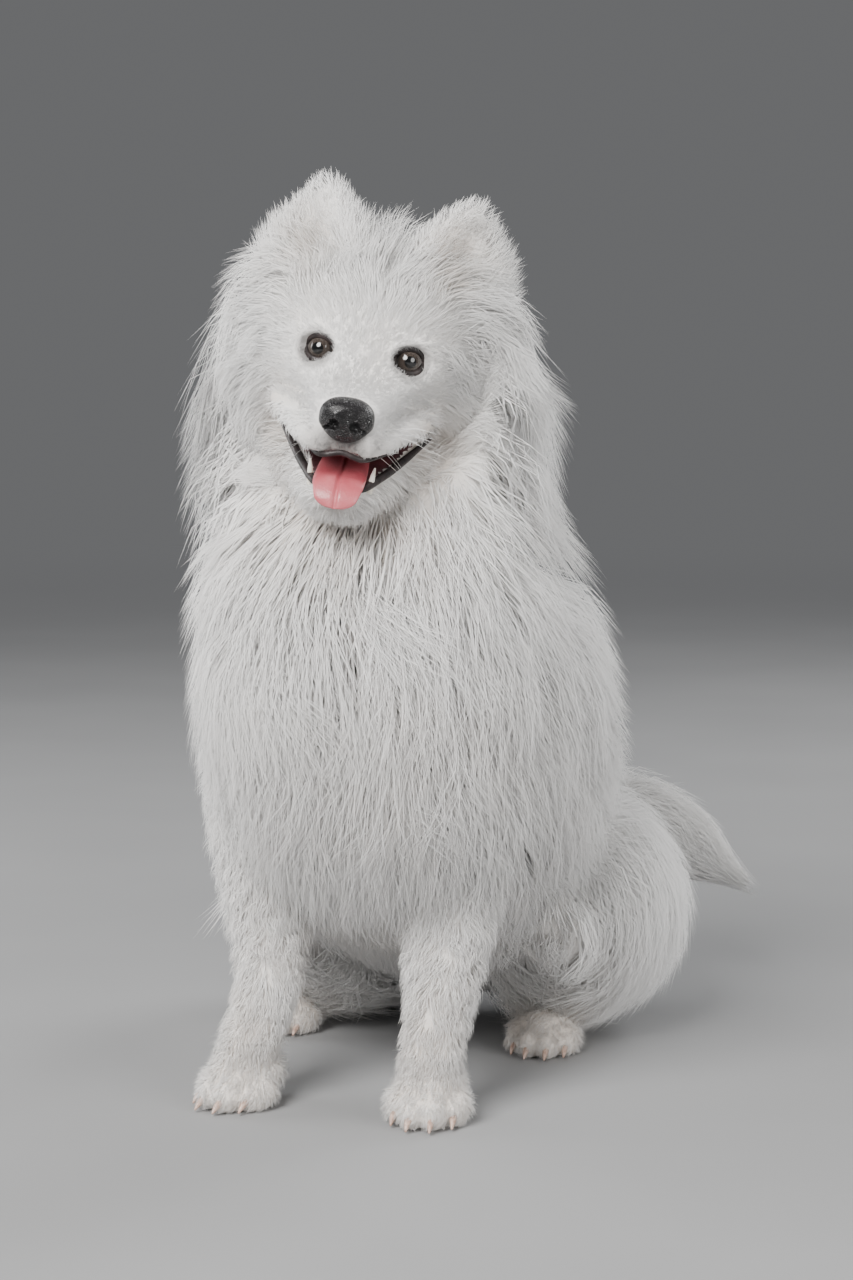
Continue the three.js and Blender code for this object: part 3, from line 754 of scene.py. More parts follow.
def skull():
    """The head's shells, with eye beds, brows, whisker pads and the flews over the lips."""
    whole = [shell("skull", face, share=ROOT)]
    for s in (-1, 1):
        for centre, size, turn in (
            (eye_middle(s), (EYE_BED, EYE_BED, EYE_BED), (0, 0, 0)),
            ((s * 27, 12, 17), (19, 17, 10), (0, s * 14, 0)),
            ((s * 13, -68, -51), (13, 17, 13), (0, 0, 0)),
        ):
            points, faces = ball(centre, size, turn)
            whole.append(mesh_object("bump", from_head(points), faces))
        rows = [(s * x * 0.93, y, z + 8, 9, 9, 14) for x, y, z in UPPER_LIP[:5]]
        flew = Limb(rows, across=(0, 0, 1), head=True)
        whole.append(mesh_object("flew", *flew.mesh(24, 40)))
    return whole


def cut_ball(thing, *ball_sizes):
    points, faces = ball(*ball_sizes)
    cut(thing, mesh_object("cutter", from_head(points), faces))


def cut_skull(thing):
    """Cuts the open mouth and the eyes."""
    below = [*UPPER_LIP_LINE, (-110, -160), (MOUTH_BACK, -160)]
    cut(thing, mesh_object("cutter", *prism(below, 120)))
    for s in (-1, 1):
        cut_ball(thing, eye_middle(s), (EYE_SOCKET, EYE_SOCKET, EYE_SOCKET))
        turn = math.radians(s * EYE["outward"])
        way = np.array([math.sin(turn), -math.cos(turn), 0])
        cut_ball(thing, eye_middle(s) + way * 14, EYE_CUT, (0, -s * EYE_OPENING["slant"], s * EYE["outward"]))
    return thing


def jaw_shell():
    thing = shell("jaw", jaw)
    above = [*LOWER_LIP_LINE, (-110, 60), (60, 60), (60, -160), (MOUTH_BACK - 0.3, -160)]
    return cut(thing, mesh_object("cutter", *prism(above, 120)))


def ear_shell(s):
    thing = shell("ear", ear_skins[s], grow=-2.5)
    return cut(thing, mesh_object("cutter", *ear_cups[s].mesh(24, 24)))


def on_paw(name, points, floor_gap):
    """Points of a paw's own shape moved to its place, no lower than a gap above the floor."""
    at, turn, scale = (PAWS[name][k] for k in ("at", "turn", "scale"))
    placed = (points * scale) @ turned(z=turn).T + np.array((*at, 0))
    placed[:, 2] = np.maximum(placed[:, 2], floor_gap)
    return placed


def paw_shells(name):
    pieces = [ball((0, 4, 21), (24, 30, 20))]
    for x, y in TOES:
        pieces.append(ball((x, y, 11), (9.5, 17, 13), (14, 0, x * -0.5)))
    return [mesh_object("paw", on_paw(name, points, 0), faces) for points, faces in pieces]


def make_skin():
    head_pieces = joined(skull(), "skull")
    apply_modifier(head_pieces, "REMESH", mode="VOXEL", voxel_size=SKULL_VOXEL)
    cut_skull(head_pieces)
    pieces = [head_pieces, jaw_shell(), ear_shell(1), ear_shell(-1)]
    pieces += [shell("body", body, share=ROOT), shell("tail", tail, share=ROOT)]
    pieces += [shell("thigh", limb, share=ROOT) for limb in thighs.values()]
    pieces += [shell("leg", limb, share=ROOT) for limb in forelegs.values()]
    pieces += [shell("foot", limb) for limb in metatarsi.values()]
    for name in PAWS:
        pieces += paw_shells(name)
    for piece in pieces:
        recalculated(piece)
    skin = joined(pieces, "skin")
    apply_modifier(skin, "REMESH", mode="VOXEL", voxel_size=VOXEL)
    apply_modifier(skin, "SMOOTH", factor=0.5, iterations=4)
    points = read(skin.data.vertices, "co", 3)
    points[:, 2] = np.maximum(points[:, 2], 0.0002)
    skin.data.vertices.foreach_set("co", points.ravel())
    skin.data.update()
    return skin


skin = make_skin()
skin.data.materials.clear()
for material in (SKIN, MOUTH):
    skin.data.materials.append(material)


def mesh_arrays(thing):
    """Centres, normals and areas of a mesh's faces, in millimetres in the body's frame."""
    faces = thing.data.polygons
    return read(faces, "center", 3) * 1000 - SHIFT, read(faces, "normal", 3), read(faces, "area")[:, 0] * 1e6


def lip_half_width(line, y):
    rows = sorted((p[1], p[0]) for p in line)
    return np.interp(y, [r[0] for r in rows], [r[1] for r in rows])


def line_height(line, y):
    rows = sorted(line)
    return np.interp(y, [r[0] for r in rows], [r[1] for r in rows])


def in_mouth(points, margin=0.0):
    """Whether points on the skin face the open mouth, inside the lips."""
    p = to_head(points)
    x, y, z = p.T
    upper, lower = line_height(UPPER_LIP_LINE, y), line_height(LOWER_LIP_LINE, y)
    wide = np.maximum(lip_half_width(UPPER_LIP, y), lip_half_width(LOWER_LIP, y)) + margin
    return (y < MOUTH_BACK + 4) & (y > -84 - margin) & (np.abs(x) < wide) & (z < upper + 2) & (z > lower - 2)


centres, normals, areas = mesh_arrays(skin)
_, y, z = to_head(centres).T
turned_to = normals @ HEAD_TURN
palate = (turned_to[:, 2] < -0.5) & (z > line_height(UPPER_LIP_LINE, y) - 4)
gum = (turned_to[:, 2] > 0.5) & (z < line_height(LOWER_LIP_LINE, y) + 4)
throat = (turned_to[:, 1] < -0.5) & (y > MOUTH_BACK - 14)
inner = in_mouth(centres) & (palate | gum | throat)
skin.data.polygons.foreach_set("material_index", inner.astype(np.int32))
smoothed(skin)
skin_points = read(skin.data.vertices, "co", 3) * 1000 - SHIFT
tones = np.zeros((len(skin_points), 4))
# cream tint with painted shade in folds and under the ruff, and grey of dark skin
tones[:, 2:] = cream_shade_and_grey_at(skin_points)
set_tint(skin.data, tones)


# Hairs
PATCH = 0.003  # of each hair on the map for baking
PATCH_CORNERS = np.array([(0, 0), (1, 0), (1, 1), (0, 1), (0.5, 0), (1, 0.5), (0.5, 1)])
MOST_TRIANGLES = 190000  # in a piece
BENT_TRIANGLES, STRAIGHT_TRIANGLES = 10, 4  # of a hair
HAIR_FLOOR, POINT_FLOOR = 0.9, 0.3  # how low a hair's path and its points may come
RING = [math.radians(a) for a in (90, 210, 330)]
MIDDLE_WIDTH = 0.8  # of a bent hair, as a share of its root's width
grown = {"root": [], "way": [], "spot": []}


def triangle_mesh(name, points, loops):
    """An object of triangles, made quickly from arrays of points and corners."""
    mesh = bpy.data.meshes.new(name)
    mesh.vertices.add(len(points))
    mesh.vertices.foreach_set("co", to_scene(points).astype(np.float32).ravel())
    mesh.loops.add(len(loops))
    mesh.loops.foreach_set("vertex_index", loops.astype(np.int32))
    mesh.polygons.add(len(loops) // 3)
    mesh.polygons.foreach_set("loop_start", np.arange(0, len(loops), 3, dtype=np.int32))
    mesh.polygons.foreach_set("loop_total", np.full(len(loops) // 3, 3, np.int32))
    mesh.update(calc_edges=True)
    return placed(name, mesh)


def hair_piece(name, paths, outs, widths, chance, cream_and_shade, uv, softness=0.7, bent=True):
    """Builds hairs as closed three-sided strands. paths: hairs x 3 points x 3, outs: the skin's normal."""
    count = len(paths)
    grown["root"].append(paths[:, 0].copy())
    grown["way"].append(paths[:, 2] - paths[:, 0])
    grown["spot"].append(uv.copy())
    paths[:, :, 2] = np.maximum(paths[:, :, 2], HAIR_FLOOR)
    heading = np.empty((count, 2, 3))
    heading[:, 0] = unit(paths[:, 1] - paths[:, 0])
    heading[:, 1] = unit(paths[:, 2] - paths[:, 0])
    side = unit(np.cross(heading, outs[:, None, :]))
    lift = np.cross(side, heading)
    levels = (1.0, MIDDLE_WIDTH) if bent else (1.0,)
    top = 3 * len(levels)
    points = np.empty((count, top + 1, 3))
    shade = np.empty((count, top + 1, 3))
    for i, thick in enumerate(levels):
        half = (widths * thick / 2)[:, None]
        for k, a in enumerate(RING):
            spoke = math.cos(a) * side[:, i] + math.sin(a) * lift[:, i]
            points[:, 3 * i + k] = paths[:, i] + half * spoke
            shade[:, 3 * i + k] = unit(outs * softness + spoke * (1 - softness))
    points[:, top] = paths[:, 2]
    shade[:, top] = unit(outs * softness + heading[:, 1] * (1 - softness) * 0.3)
    points[:, :, 2] = np.maximum(points[:, :, 2], POINT_FLOOR)
    corners = [(0, 1, 2)]
    for a, b in ((0, 1), (1, 2), (2, 0)):
        if bent:
            corners += [(a, b + 3, b), (a, a + 3, b + 3), (a + 3, 6, b + 3)]
        else:
            corners += [(a, 3, b)]
    loops = (np.array(corners)[None] + (np.arange(count) * (top + 1))[:, None, None]).reshape(-1)
    thing = triangle_mesh(name, points.reshape(-1, 3), loops)
    mesh = thing.data
    layer = mesh.uv_layers.new(name="OFBake")
    patch = PATCH_CORNERS[:top + 1] * PATCH
    spots = (uv[:, None, :] * (1 - PATCH) + patch[None]).reshape(-1, 2)
    layer.data.foreach_set("uv", spots[loops].astype(np.float32).ravel())
    values = np.empty((count, top + 1, 4))
    values[:, :, 0] = np.array([0, 0, 0, 0.5, 0.5, 0.5, 1] if bent else [0, 0, 0, 1])
    values[:, :, 1] = chance[:, None]
    values[:, :, 2:] = cream_and_shade[:, None]
    set_tint(mesh, values.reshape(-1, 4))
    mesh.materials.append(FUR)
    mesh.normals_split_custom_set_from_vertices(shade.reshape(-1, 3).astype(np.float32))
    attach(thing, "root")
    return thing


def hair_pieces(name, order, *columns, **settings):
    """Splits hairs into pieces that stay small enough, by an order along the limb."""
    rows = np.argsort(order, kind="stable")
    each = BENT_TRIANGLES if settings.get("bent", True) else STRAIGHT_TRIANGLES
    parts = max(1, math.ceil(len(rows) * each / MOST_TRIANGLES))
    for i, chosen in enumerate(np.array_split(rows, parts)):
        suffix = f"_{i + 1}" if parts > 1 else ""
        hair_piece(f"fur_{name}{suffix}", *(c[chosen] for c in columns), **settings)


def tree_of(points):
    tree = KDTree(len(points))
    for i, p in enumerate(points):
        tree.insert(p, i)
    tree.balance()
    return tree


def nearest_of(points, others):
    """For each point, which of the others is nearest."""
    tree = tree_of(others)
    return np.array([tree.find(p)[1] for p in points])


# Where each limb lies on the map for baking: left, bottom, width, height
MAPS = {
    "body": (0.0, 0.0, 0.5, 0.5),
    "head": (0.5, 0.0, 0.5, 0.3),
    "haunch_left": (0.0, 0.5, 0.25, 0.25),
    "haunch_right": (0.25, 0.5, 0.25, 0.25),
    "foreleg_left": (0.5, 0.3, 0.25, 0.2),
    "foreleg_right": (0.75, 0.3, 0.25, 0.2),
    "tail": (0.5, 0.5, 0.25, 0.25),
    "face": (0.75, 0.5, 0.25, 0.25),
    "ear_left": (0.0, 0.75, 0.12, 0.15),
    "ear_left_cup": (0.0, 0.91, 0.12, 0.09),
    "ear_right": (0.13, 0.75, 0.12, 0.15),
    "ear_right_cup": (0.13, 0.91, 0.12, 0.09),
    "paws": (0.25, 0.75, 0.5, 0.25),
    "chin": (0.75, 0.75, 0.25, 0.14),
    "lip_edge": (0.75, 0.9, 0.25, 0.1),
}


def on_map(name, a, b):
    """Places on the map at shares a and b of a part's rectangle."""
    left, bottom, width, height = MAPS[name]
    return np.stack([left + width * np.clip(a, 0, 1), bottom + height * np.clip(b, 0, 1)], 1)


def unrolled(name, points, axis, front):
    """Places on the map for points, as on a sheet unrolled from round an axis through their middle."""
    away = points - points.mean(0)
    along = away @ axis
    angle = np.arctan2(away @ np.cross(axis, front), away @ front)
    return on_map(name, angle / (2 * math.pi) + 0.5, (along - along.min()) / np.ptp(along))


def unrolled_feet(points):
    """Places on the map for points on the feet, each foot spread out from its top."""
    middles = np.array([paw["at"] for paw in PAWS.values()], float)
    away = points[:, None, :2] - middles[None]
    distance = np.linalg.norm(away, axis=2)
    foot = distance.argmin(1)
    rows = np.arange(len(points))
    angle = np.arctan2(away[rows, foot, 0], -away[rows, foot, 1])
    across = (foot + 0.02 + 0.96 * (angle / (2 * math.pi) + 0.5)) / len(middles)
    return on_map("paws", across, (distance[rows, foot] - points[:, 2] + 60) / 240)


def beside_others(points):
    """Places on the map of the hairs that already grow nearest to some points."""
    return np.vstack(grown["spot"])[nearest_of(points, np.vstack(grown["root"]))]


def way_over(limb, t, angle, share, wish):
    """The rates of t and angle for each millimetre along a wished direction, laid onto the limb."""
    out, along, round_ = limb.ways(t, angle, share)
    wish = unit(wish - out * (wish * out).sum(1, keepdims=True))
    aa = np.maximum((along * along).sum(1), (0.5 * limb.length) ** 2)
    rr = np.maximum((round_ * round_).sum(1), 6.0**2)
    ar = (along * round_).sum(1) * 0.9
    da, dr = (wish * along).sum(1), (wish * round_).sum(1)
    det = aa * rr - ar * ar
    return (da * rr - dr * ar) / det, (dr * aa - da * ar) / det


def waves(t, angle, seed):
    """A smooth noise over a limb, from -1 to 1."""
    random = np.random.default_rng(seed)
    total = np.zeros(len(t))
    for _ in range(6):
        k, n = random.uniform(2, 9), random.integers(1, 7)
        total += np.sin(2 * math.pi * (k * t + random.random()) + n * angle)
    return total / 3.5


def in_any(places, points):
    """Whether points lie in any of some limbs, each at its share of the coat."""
    inside = np.zeros(len(points), bool)
    for limb, share in places:
        inside |= limb.holds(points, share)
    return inside


MOST_ROUND = 700  # millimetres round the thickest limb


def scattered(limb, random, per_cm2, span, skip):
    """Hairs' roots spread evenly over a limb's skin: t, angle and place."""
    tries = int(per_cm2 * limb.length * MOST_ROUND / 100 * 1.3)
    t = random.uniform(*span, tries)
    angle = random.uniform(0, 2 * math.pi, tries)
    _, along, round_ = limb.ways(t, angle, 0.3)
    element = np.linalg.norm(np.cross(along, round_), axis=1)
    wanted = element * (span[1] - span[0]) * 2 * math.pi / 100 * per_cm2 / tries
    keep = random.random(tries) < wanted
    t, angle = t[keep], angle[keep]
    roots = limb.place(limb.surface(t, angle, ROOT))
    keep = ~in_any(skip, roots)
    return t[keep], angle[keep], roots[keep]


def locks(random, roots, in_lock):
    """Gathers hairs into locks: the hairs that lead one, and the lock of each hair."""
    heads = random.choice(len(roots), max(1, int(len(roots) / in_lock)), replace=False)
    return heads, nearest_of(roots, roots[heads])


def arched(u):
    """How far a hair has risen at a share of its length."""
    return 1 - (1 - u) ** 1.8


WOOLLY = 0.3  # the share of a coat's hairs that is woolly undercoat, wider and lower
WOOL_WIDTH, WOOL_LIFT = 2.3, (0.45, 0.75)


def limb_coat(name, limb, seed, per_cm2, hair, width, skip, flow=1.0, fall=0.2, base=3.0, clump=18, hold=0.5,
              span=(0.0, 1.0), lifts=(0.84, 1.06), stray=0.12, drop=0.0, softness=0.65):
    """Long hair that lies over a limb, drawn together into locks, with a woolly undercoat below it.

    hair and width are straight lines over the coat's depth, and skip lists limbs whose inside stays bare.
    flow is the pull along the limb, fall the pull downwards, drop how much it grows towards the limb's end,
    clump the size of a lock, hold how far its hairs draw together, and base and lifts how high they stand.
    """
    random = np.random.default_rng(seed)
    t, angle, roots = scattered(limb, random, per_cm2, span, skip)
    count = len(t)
    depth = limb.depth(t, angle)
    out, along, _ = limb.ways(t, angle, 0.5)
    down = np.array([0.0, 0, -1])
    if limb.head:
        down = down @ HEAD_TURN
    aslant = np.cross(out, unit(along)) * (0.3 * waves(t, angle, seed + 5))[:, None]
    fall = fall + drop * smoothstep(t, 0.6, 0.95)
    wish = unit(along) * flow + down * fall[:, None] + aslant
    dt, da = way_over(limb, t, angle, 0.5, wish)
    long = (hair[0] + hair[1] * depth) * random.uniform(0.8, 1.12, count)
    under = random.random(count) < WOOLLY
    lift = random.uniform(*lifts, count) * np.where(under, random.uniform(*WOOL_LIFT, count), 1.0)
    heads, mine = locks(random, roots, max(2.0, per_cm2 * clump * clump / 100))
    lead = heads[mine]
    lead_lift = (0.86 + 0.26 * random.random(len(heads)))[mine]
    lead_turn = random.normal(0, 0.22, len(heads))[mine]
    lead_long = (0.85 + 0.3 * random.random(len(heads)))[mine]
    turn = lead_turn + random.normal(0, stray, count)
    cross = np.cross(out, unit(wish - out * (wish * out).sum(1, keepdims=True)))
    bt, ba = way_over(limb, t, angle, 0.5, cross)
    c, s = np.cos(turn), np.sin(turn)
    dt, da = dt * c + bt * s, da * c + ba * s
    long = long * lead_long
    high = ((1 - ROOT) * depth + base) * lift * lead_lift
    level = np.sqrt(np.maximum(long**2 - high**2, (0.35 * long) ** 2))
    paths = np.empty((count, 3, 3))
    middle = random.uniform(0.4, 0.6, count)
    gap_angle = (angle[lead] - angle + math.pi) % (2 * math.pi) - math.pi
    gap_t = t[lead] - t
    ends = np.minimum(t + dt * level, random.uniform(0.97, 1.09, count)) - t
    for i, u in enumerate((np.zeros(count), middle, np.ones(count))):
        k = hold * u**1.2
        rise = lift * lead_lift * arched(u)
        tt = t + ends * u + k * gap_t
        aa = angle + da * level * u + k * gap_angle
        sunk = np.where(u == 0, -1.5, 0.0)
        paths[:, i] = limb.place(limb.surface(tt, aa, ROOT + (1 - ROOT) * rise, base * rise + sunk))
    outs = limb.turn(out)
    keep = np.linalg.norm(paths[:, 2] - paths[:, 0], axis=1) < 1.25 * long + 4
    keep &= np.linalg.norm(paths[:, 1] - paths[:, 0], axis=1) < 0.9 * long + 4
    reach = paths[:, 2] - paths[:, 0]
    keep &= (reach * outs).sum(1) < 0.7 * np.linalg.norm(reach, axis=1) + 10
    paths, outs, t, angle, depth, under = (v[keep] for v in (paths, outs, t, angle, depth, under))
    count = len(t)
    chance = random.random(count)
    # cream tint with painted shade in folds and under the ruff, at the middle of each hair
    cream_and_shade = cream_shade_and_grey_at(paths[:, 1])
    spots = on_map(name, t, angle % (2 * math.pi) / (2 * math.pi))
    widths = (width[0] + width[1] * depth) * random.uniform(0.7, 1.1, count)
    widths = widths * np.where(under, WOOL_WIDTH, 1.0)
    hair_pieces(name, t, paths, outs, widths, chance, cream_and_shade, spots, softness=softness)


HAIRS_IN_TUFT = 12  # of the short hair


def value_at(value, points):
    """A value that is given as a number or as a function of points."""
    return value(points) if callable(value) else value


def mesh_coat(name, seed, chosen, per_cm2, length, rise, width, lie, stray=0.3, hold=0.5, bent=False,
              softness=0.5, hanging=False, unroll=beside_others):
    """Short hair over chosen faces of the skin.

    length, rise and width are values or functions of the roots. lie is the way that the hair lies, or a
    function of the roots and the skin's normals, and only hanging hair keeps to it off the skin.
    """
    random = np.random.default_rng(seed)
    ids = np.nonzero(chosen)[0]
    density = value_at(per_cm2, centres[ids])
    expected = areas[ids] / 100 * density
    number = random.poisson(expected)
    picked = np.repeat(ids, number)
    count = len(picked)
    roots = centres[picked] + random.normal(0, 0.8, (count, 3))
    outs = unit(normals[picked])
    roots -= outs * ((roots - centres[picked]) * outs).sum(1, keepdims=True)
    way = np.zeros((count, 3)) + (lie(roots, outs) if callable(lie) else lie)
    if not hanging:
        way = way - outs * (way * outs).sum(1, keepdims=True)
    way = unit(way)
    cross = unit(np.cross(outs, way))
    heads, mine = locks(random, roots, HAIRS_IN_TUFT)
    turn = random.normal(0, 0.2, len(heads))[mine] + random.normal(0, stray, count)
    way = way * np.cos(turn)[:, None] + cross * np.sin(turn)[:, None]
    long = value_at(length, roots) * random.uniform(0.75, 1.15, count)
    high = long * value_at(rise, roots) * random.uniform(0.8, 1.2, count)
    level = np.sqrt(np.maximum(long**2 - high**2, (0.2 * long) ** 2))
    middle = random.uniform(0.4, 0.6, count)
    gap = roots[heads[mine]] - roots
    paths = np.empty((count, 3, 3))
    for i, u in enumerate((np.zeros(count), middle, np.ones(count))):
        up = high * arched(u) - np.where(u == 0, 0.8, 0.0)
        paths[:, i] = roots + way * (level * u)[:, None] + outs * up[:, None] + gap * (hold * u)[:, None]
    widths = value_at(width, roots) * random.uniform(0.75, 1.25, count)
    hair_pieces(name, roots[:, 1], paths, outs, widths, random.random(count), cream_shade_and_grey_at(roots), unroll(roots),
                bent=bent, softness=softness)


def build_coat():
    """The long hair of the limbs. The forelegs' hair is longest near their top, where their coat is deepest.
    """
    both_thighs = [(thighs[s], ROOT) for s in (1, -1)]
    hidden = [(face, 0.15), (jaw, 1), *both_thighs, (forelegs[1], 0), (forelegs[-1], 0)]
    limb_coat("body", body, 101, 18.5, (14, 1.25), (0.6, 0.003), hidden, fall=0.45, clump=20,
              base=4.0, hold=0.42, lifts=(0.78, 1.1), stray=0.17)
    hidden = [(ears[1], -1), (ears[-1], -1), (body, 0.1)]
    limb_coat("head", face, 111, 30.0, (10, 1.25), (0.55, 0.003), hidden, flow=0.8, fall=0.5, clump=14,
              span=(0.5, 0.95), hold=0.45, drop=1.6)
    for s, name in ((1, "haunch_left"), (-1, "haunch_right")):
        limb_coat(name, thighs[s], 121 + s, 16.0, (20, 1.6), (0.62, 0.003), [(body, ROOT - 0.1)], flow=0.4,
                  fall=1.1, clump=17, base=4.0, lifts=(0.78, 1.18), stray=0.18)
    for s, name in ((1, "foreleg_left"), (-1, "foreleg_right")):
        limb_coat(name, forelegs[s], 131 + s, 34.0, (10, 1.3), (0.55, 0.01), [(body, ROOT)], clump=9,
                  hold=0.4, lifts=(0.7, 1.5), stray=0.2, softness=0.4)
    limb_coat("tail", tail, 141, 30.0, (40, 2.0), (0.6, 0.002), [(body, ROOT), *both_thighs], base=5.0,
              hold=0.7, lifts=(0.5, 1.3), stray=0.26, softness=0.35)


# Faces of the skin by region
in_head = to_head(centres)


def near_line(points, line, radius):
    """Whether points in the head's frame lie near a lip's line, on either side."""
    line = np.array([*[(-x, y, z) for x, y, z in line], *[(x, y, z) for x, y, z in line[::-1]]], float)
    near = np.zeros(len(points), bool)
    for a, b in zip(line[:-1], line[1:]):
        way = b - a
        u = np.clip(((points - a) @ way) / max(way @ way, 1e-6), 0, 1)
        near |= np.linalg.norm(points - a - u[:, None] * way, axis=1) < radius
    return near


def along_face(front, back):
    """A value that changes from the front of the face to its back."""
    return lambda p: np.interp(to_head(p)[:, 1], [-90, -20, 46], [front, (front + back) / 2, back])


def round_muzzle(name):
    return lambda p: unrolled(name, p, HEAD_TURN[:, 1], HEAD_TURN[:, 2])


def face_length(p):
    q = to_head(p)
    base = np.interp(q[:, 1], [-90, -60, -20, 0, 20, 45], [3.0, 4.6, 7.5, 11, 18, 30])
    near_eye = smoothstep(eye_distance(q), 12, 30)
    chin = smoothstep(-q[:, 2], 84, 104) * np.interp(q[:, 1], [-80, -50, 0], [8, 15, 18])
    return base * (0.45 + 0.55 * near_eye) + chin


def face_lie(p, outs):
    """Back along the muzzle, out over the cheeks, up over the brow and down below the eyes and at the lip."""
    q = to_head(p)
    way = np.zeros_like(q)
    way[:, 1] = 1.0
    way[:, 0] = 0.35 * np.sign(q[:, 0]) * smoothstep(np.abs(q[:, 0]), 5, 40)
    way[:, 2] = np.where(q[:, 2] > -30, 0.35, -0.45) * smoothstep(q[:, 1], -60, 0)
    way[:, 2] -= 0.7 * smoothstep(-q[:, 2], 66, 96)
    lip = smoothstep(-q[:, 2], 44, 60) * smoothstep(-q[:, 1], 0, 30) * (q[:, 2] > -72)
    way[:, 2] -= 0.9 * lip
    return way @ HEAD_TURN.T


def chin_lie(p, outs):
    q = to_head(p)
    way = [0.5 * np.sign(q[:, 0]), np.interp(q[:, 1], [-70, 0], [0.35, 1.0]), np.full(len(q), -0.8)]
    return np.stack(way, 1) @ HEAD_TURN.T


def coat_face(head_part, nose_part):
    haired = head_part & ~inner & ~bare
    mesh_coat("face", 201, haired & ~nose_part, along_face(95, 62), face_length,
              along_face(0.36, 0.5), along_face(0.42, 0.66), face_lie, stray=0.24, hold=0.4, softness=0.38,
              unroll=round_muzzle("face"))
    low = lower_lip_gap(in_head)
    on_jaw = jaw.holds(centres, 0, 3.0)
    mesh_coat("chin", 205, haired & on_jaw & (low > 4), 20.0,
              lambda p: np.interp(to_head(p)[:, 1], [-70, -40, 10], [11, 17, 26]), 0.5, 0.6, chin_lie,
              hold=0.6, bent=True, softness=0.4, unroll=round_muzzle("chin"))
    edge = head_part & ~inner & on_jaw & (low > 1) & (low < 9) & (in_head[:, 0] < -24) & (in_head[:, 1] < -4)
    mesh_coat("lip_edge", 206, edge, 60.0, 7.5, 0.3, 0.5, np.array([-0.2, 0.3, 1.0]) @ HEAD_TURN.T,
              hold=0.3, softness=0.4, unroll=round_muzzle("lip_edge"))


def coat_ear(s, name, faces):
    """Hair that fans out from the ear's axis, shorter and finer in its cup."""
    limb = ears[s]
    _, axis, outward, front, _, _ = (limb.turn(unit(v))[0] for v in limb.at(np.array([0.6])))
    outward, back = outward * s, -front
    cup = ear_cups[s].holds(centres, 0, 2.5) & (normals @ back < 0.3)

    def ear_lie(p, outs):
        on_front = smoothstep(-(outs @ back), -0.1, 0.5)[:, None]
        return axis * 0.9 + outward * (0.55 - 0.2 * on_front) + back * 0.3 * (1 - on_front)

    def ear_length(p):
        away = np.maximum((p - from_head([EAR_SHELL[0][:3]])[0]) @ outward, -40)
        low = smoothstep(-to_head(p)[:, 2], -110, -50)
        return 13 + 14 * smoothstep(away, -30, 20) * low

    mesh_coat(name, 211 + s, faces & ~cup, 36.0, ear_length, 0.62, 0.7, ear_lie, stray=0.35, bent=True,
              unroll=lambda p: unrolled(name, p, axis, front))
    mesh_coat(f"{name}_cup", 213 + s, faces & cup, 26.0, 16.0, 0.6, 0.55, ear_lie, stray=0.4,
              unroll=lambda p: unrolled(f"{name}_cup", p, axis, front))


def coat_feet():
    foot = np.zeros(len(centres), bool)
    for paw in PAWS.values():
        away = centres[:, :2] - np.array(paw["at"])
        foot |= (np.hypot(*away.T) < 52) & (centres[:, 2] < 52)
    for limb in metatarsi.values():
        foot |= near_limb(limb, centres, 5)
    foot &= ~in_any([(limb, ROOT - 0.1) for limb in thighs.values()], centres) & (centres[:, 2] > 2.0)
    mesh_coat("paws", 221, foot, 44.0, lambda p: np.interp(p[:, 2], [0, 20, 50], [7, 9.5, 15]), 0.46, 0.7,
              np.array([0.0, -1.0, -0.5]), hold=0.55, softness=0.35, unroll=unrolled_feet)


def coat_bib():
    """The long hair that hangs between the forelegs."""
    x, y, z = centres.T
    hung = (np.abs(x - 8) < 80) & (y < 150) & (z > 190) & (z < 335) & (normals[:, 2] < 0.1)
    hung &= body.holds(centres, ROOT, 3.0)
    for limb in forelegs.values():
        hung &= ~limb.holds(centres, ROOT, 2.0)
    mesh_coat("bib", 227, hung, 10.0, lambda p: np.interp(p[:, 2], [190, 250, 335], [62, 84, 70]), 0.14, 0.66,
              np.array([0.02, -0.12, -1.0]), stray=0.12, hold=0.75, bent=True, hanging=True)


def coat_gaps(done):
    """Hair over whatever is still bare, by the lie of the hair nearest to it."""
    ways = np.vstack(grown["way"])
    tree = tree_of(np.vstack(grown["root"]))
    gap = np.array([tree.find(c)[2] for c in centres])

    def of_nearest(p):
        return ways[[tree.find(q)[1] for q in p]]

    mesh_coat("fill", 231, ~done & (centres[:, 2] >= 3.0) & (gap >= 4.0), 14.0,
              lambda p: np.minimum(np.linalg.norm(of_nearest(p), axis=1), 24), 0.2, 0.9,
              lambda p, outs: of_nearest(p) + np.array([0, 0, -16.0]), stray=0.2, hold=0.3, bent=True)


def lower_lip_gap(points):
    """How far points in the head's frame lie below the lower lip."""
    line = np.array(LOWER_LIP, float)
    return np.interp(-points[:, 1], -line[:, 1], line[:, 2]) - points[:, 2]


def near_limb(limb, points, margin):
    t = np.linspace(0, 1, 24)
    size = limb.at(t)[4].max(1)
    gaps = np.linalg.norm(points[:, None, :] - limb.place(limb.at(t)[0])[None], axis=2) - size[None]
    return gaps.min(1) < margin


def build_short_coat():
    x, y, z = in_head.T
    ear_faces = {s: ears[s].holds(centres, 0, 2.0) & (z > 34) & (y > 30) for s in (1, -1)}
    any_ear = ear_faces[1] | ear_faces[-1]
    head_part = (face.holds(centres, 1, 4.0) | jaw.holds(centres, 0, 4.0)) & (y < 46) & (z > -125) & ~any_ear
    nose_part = (y < -76) & (z > -56) & (z < -24) & (np.abs(x) < 19)
    coat_face(head_part, nose_part)
    for s, name in ((1, "ear_left"), (-1, "ear_right")):
        coat_ear(s, name, ear_faces[s])
    coat_feet()
    coat_bib()
    coat_gaps(inner | nose_part | bare | any_ear | head_part)


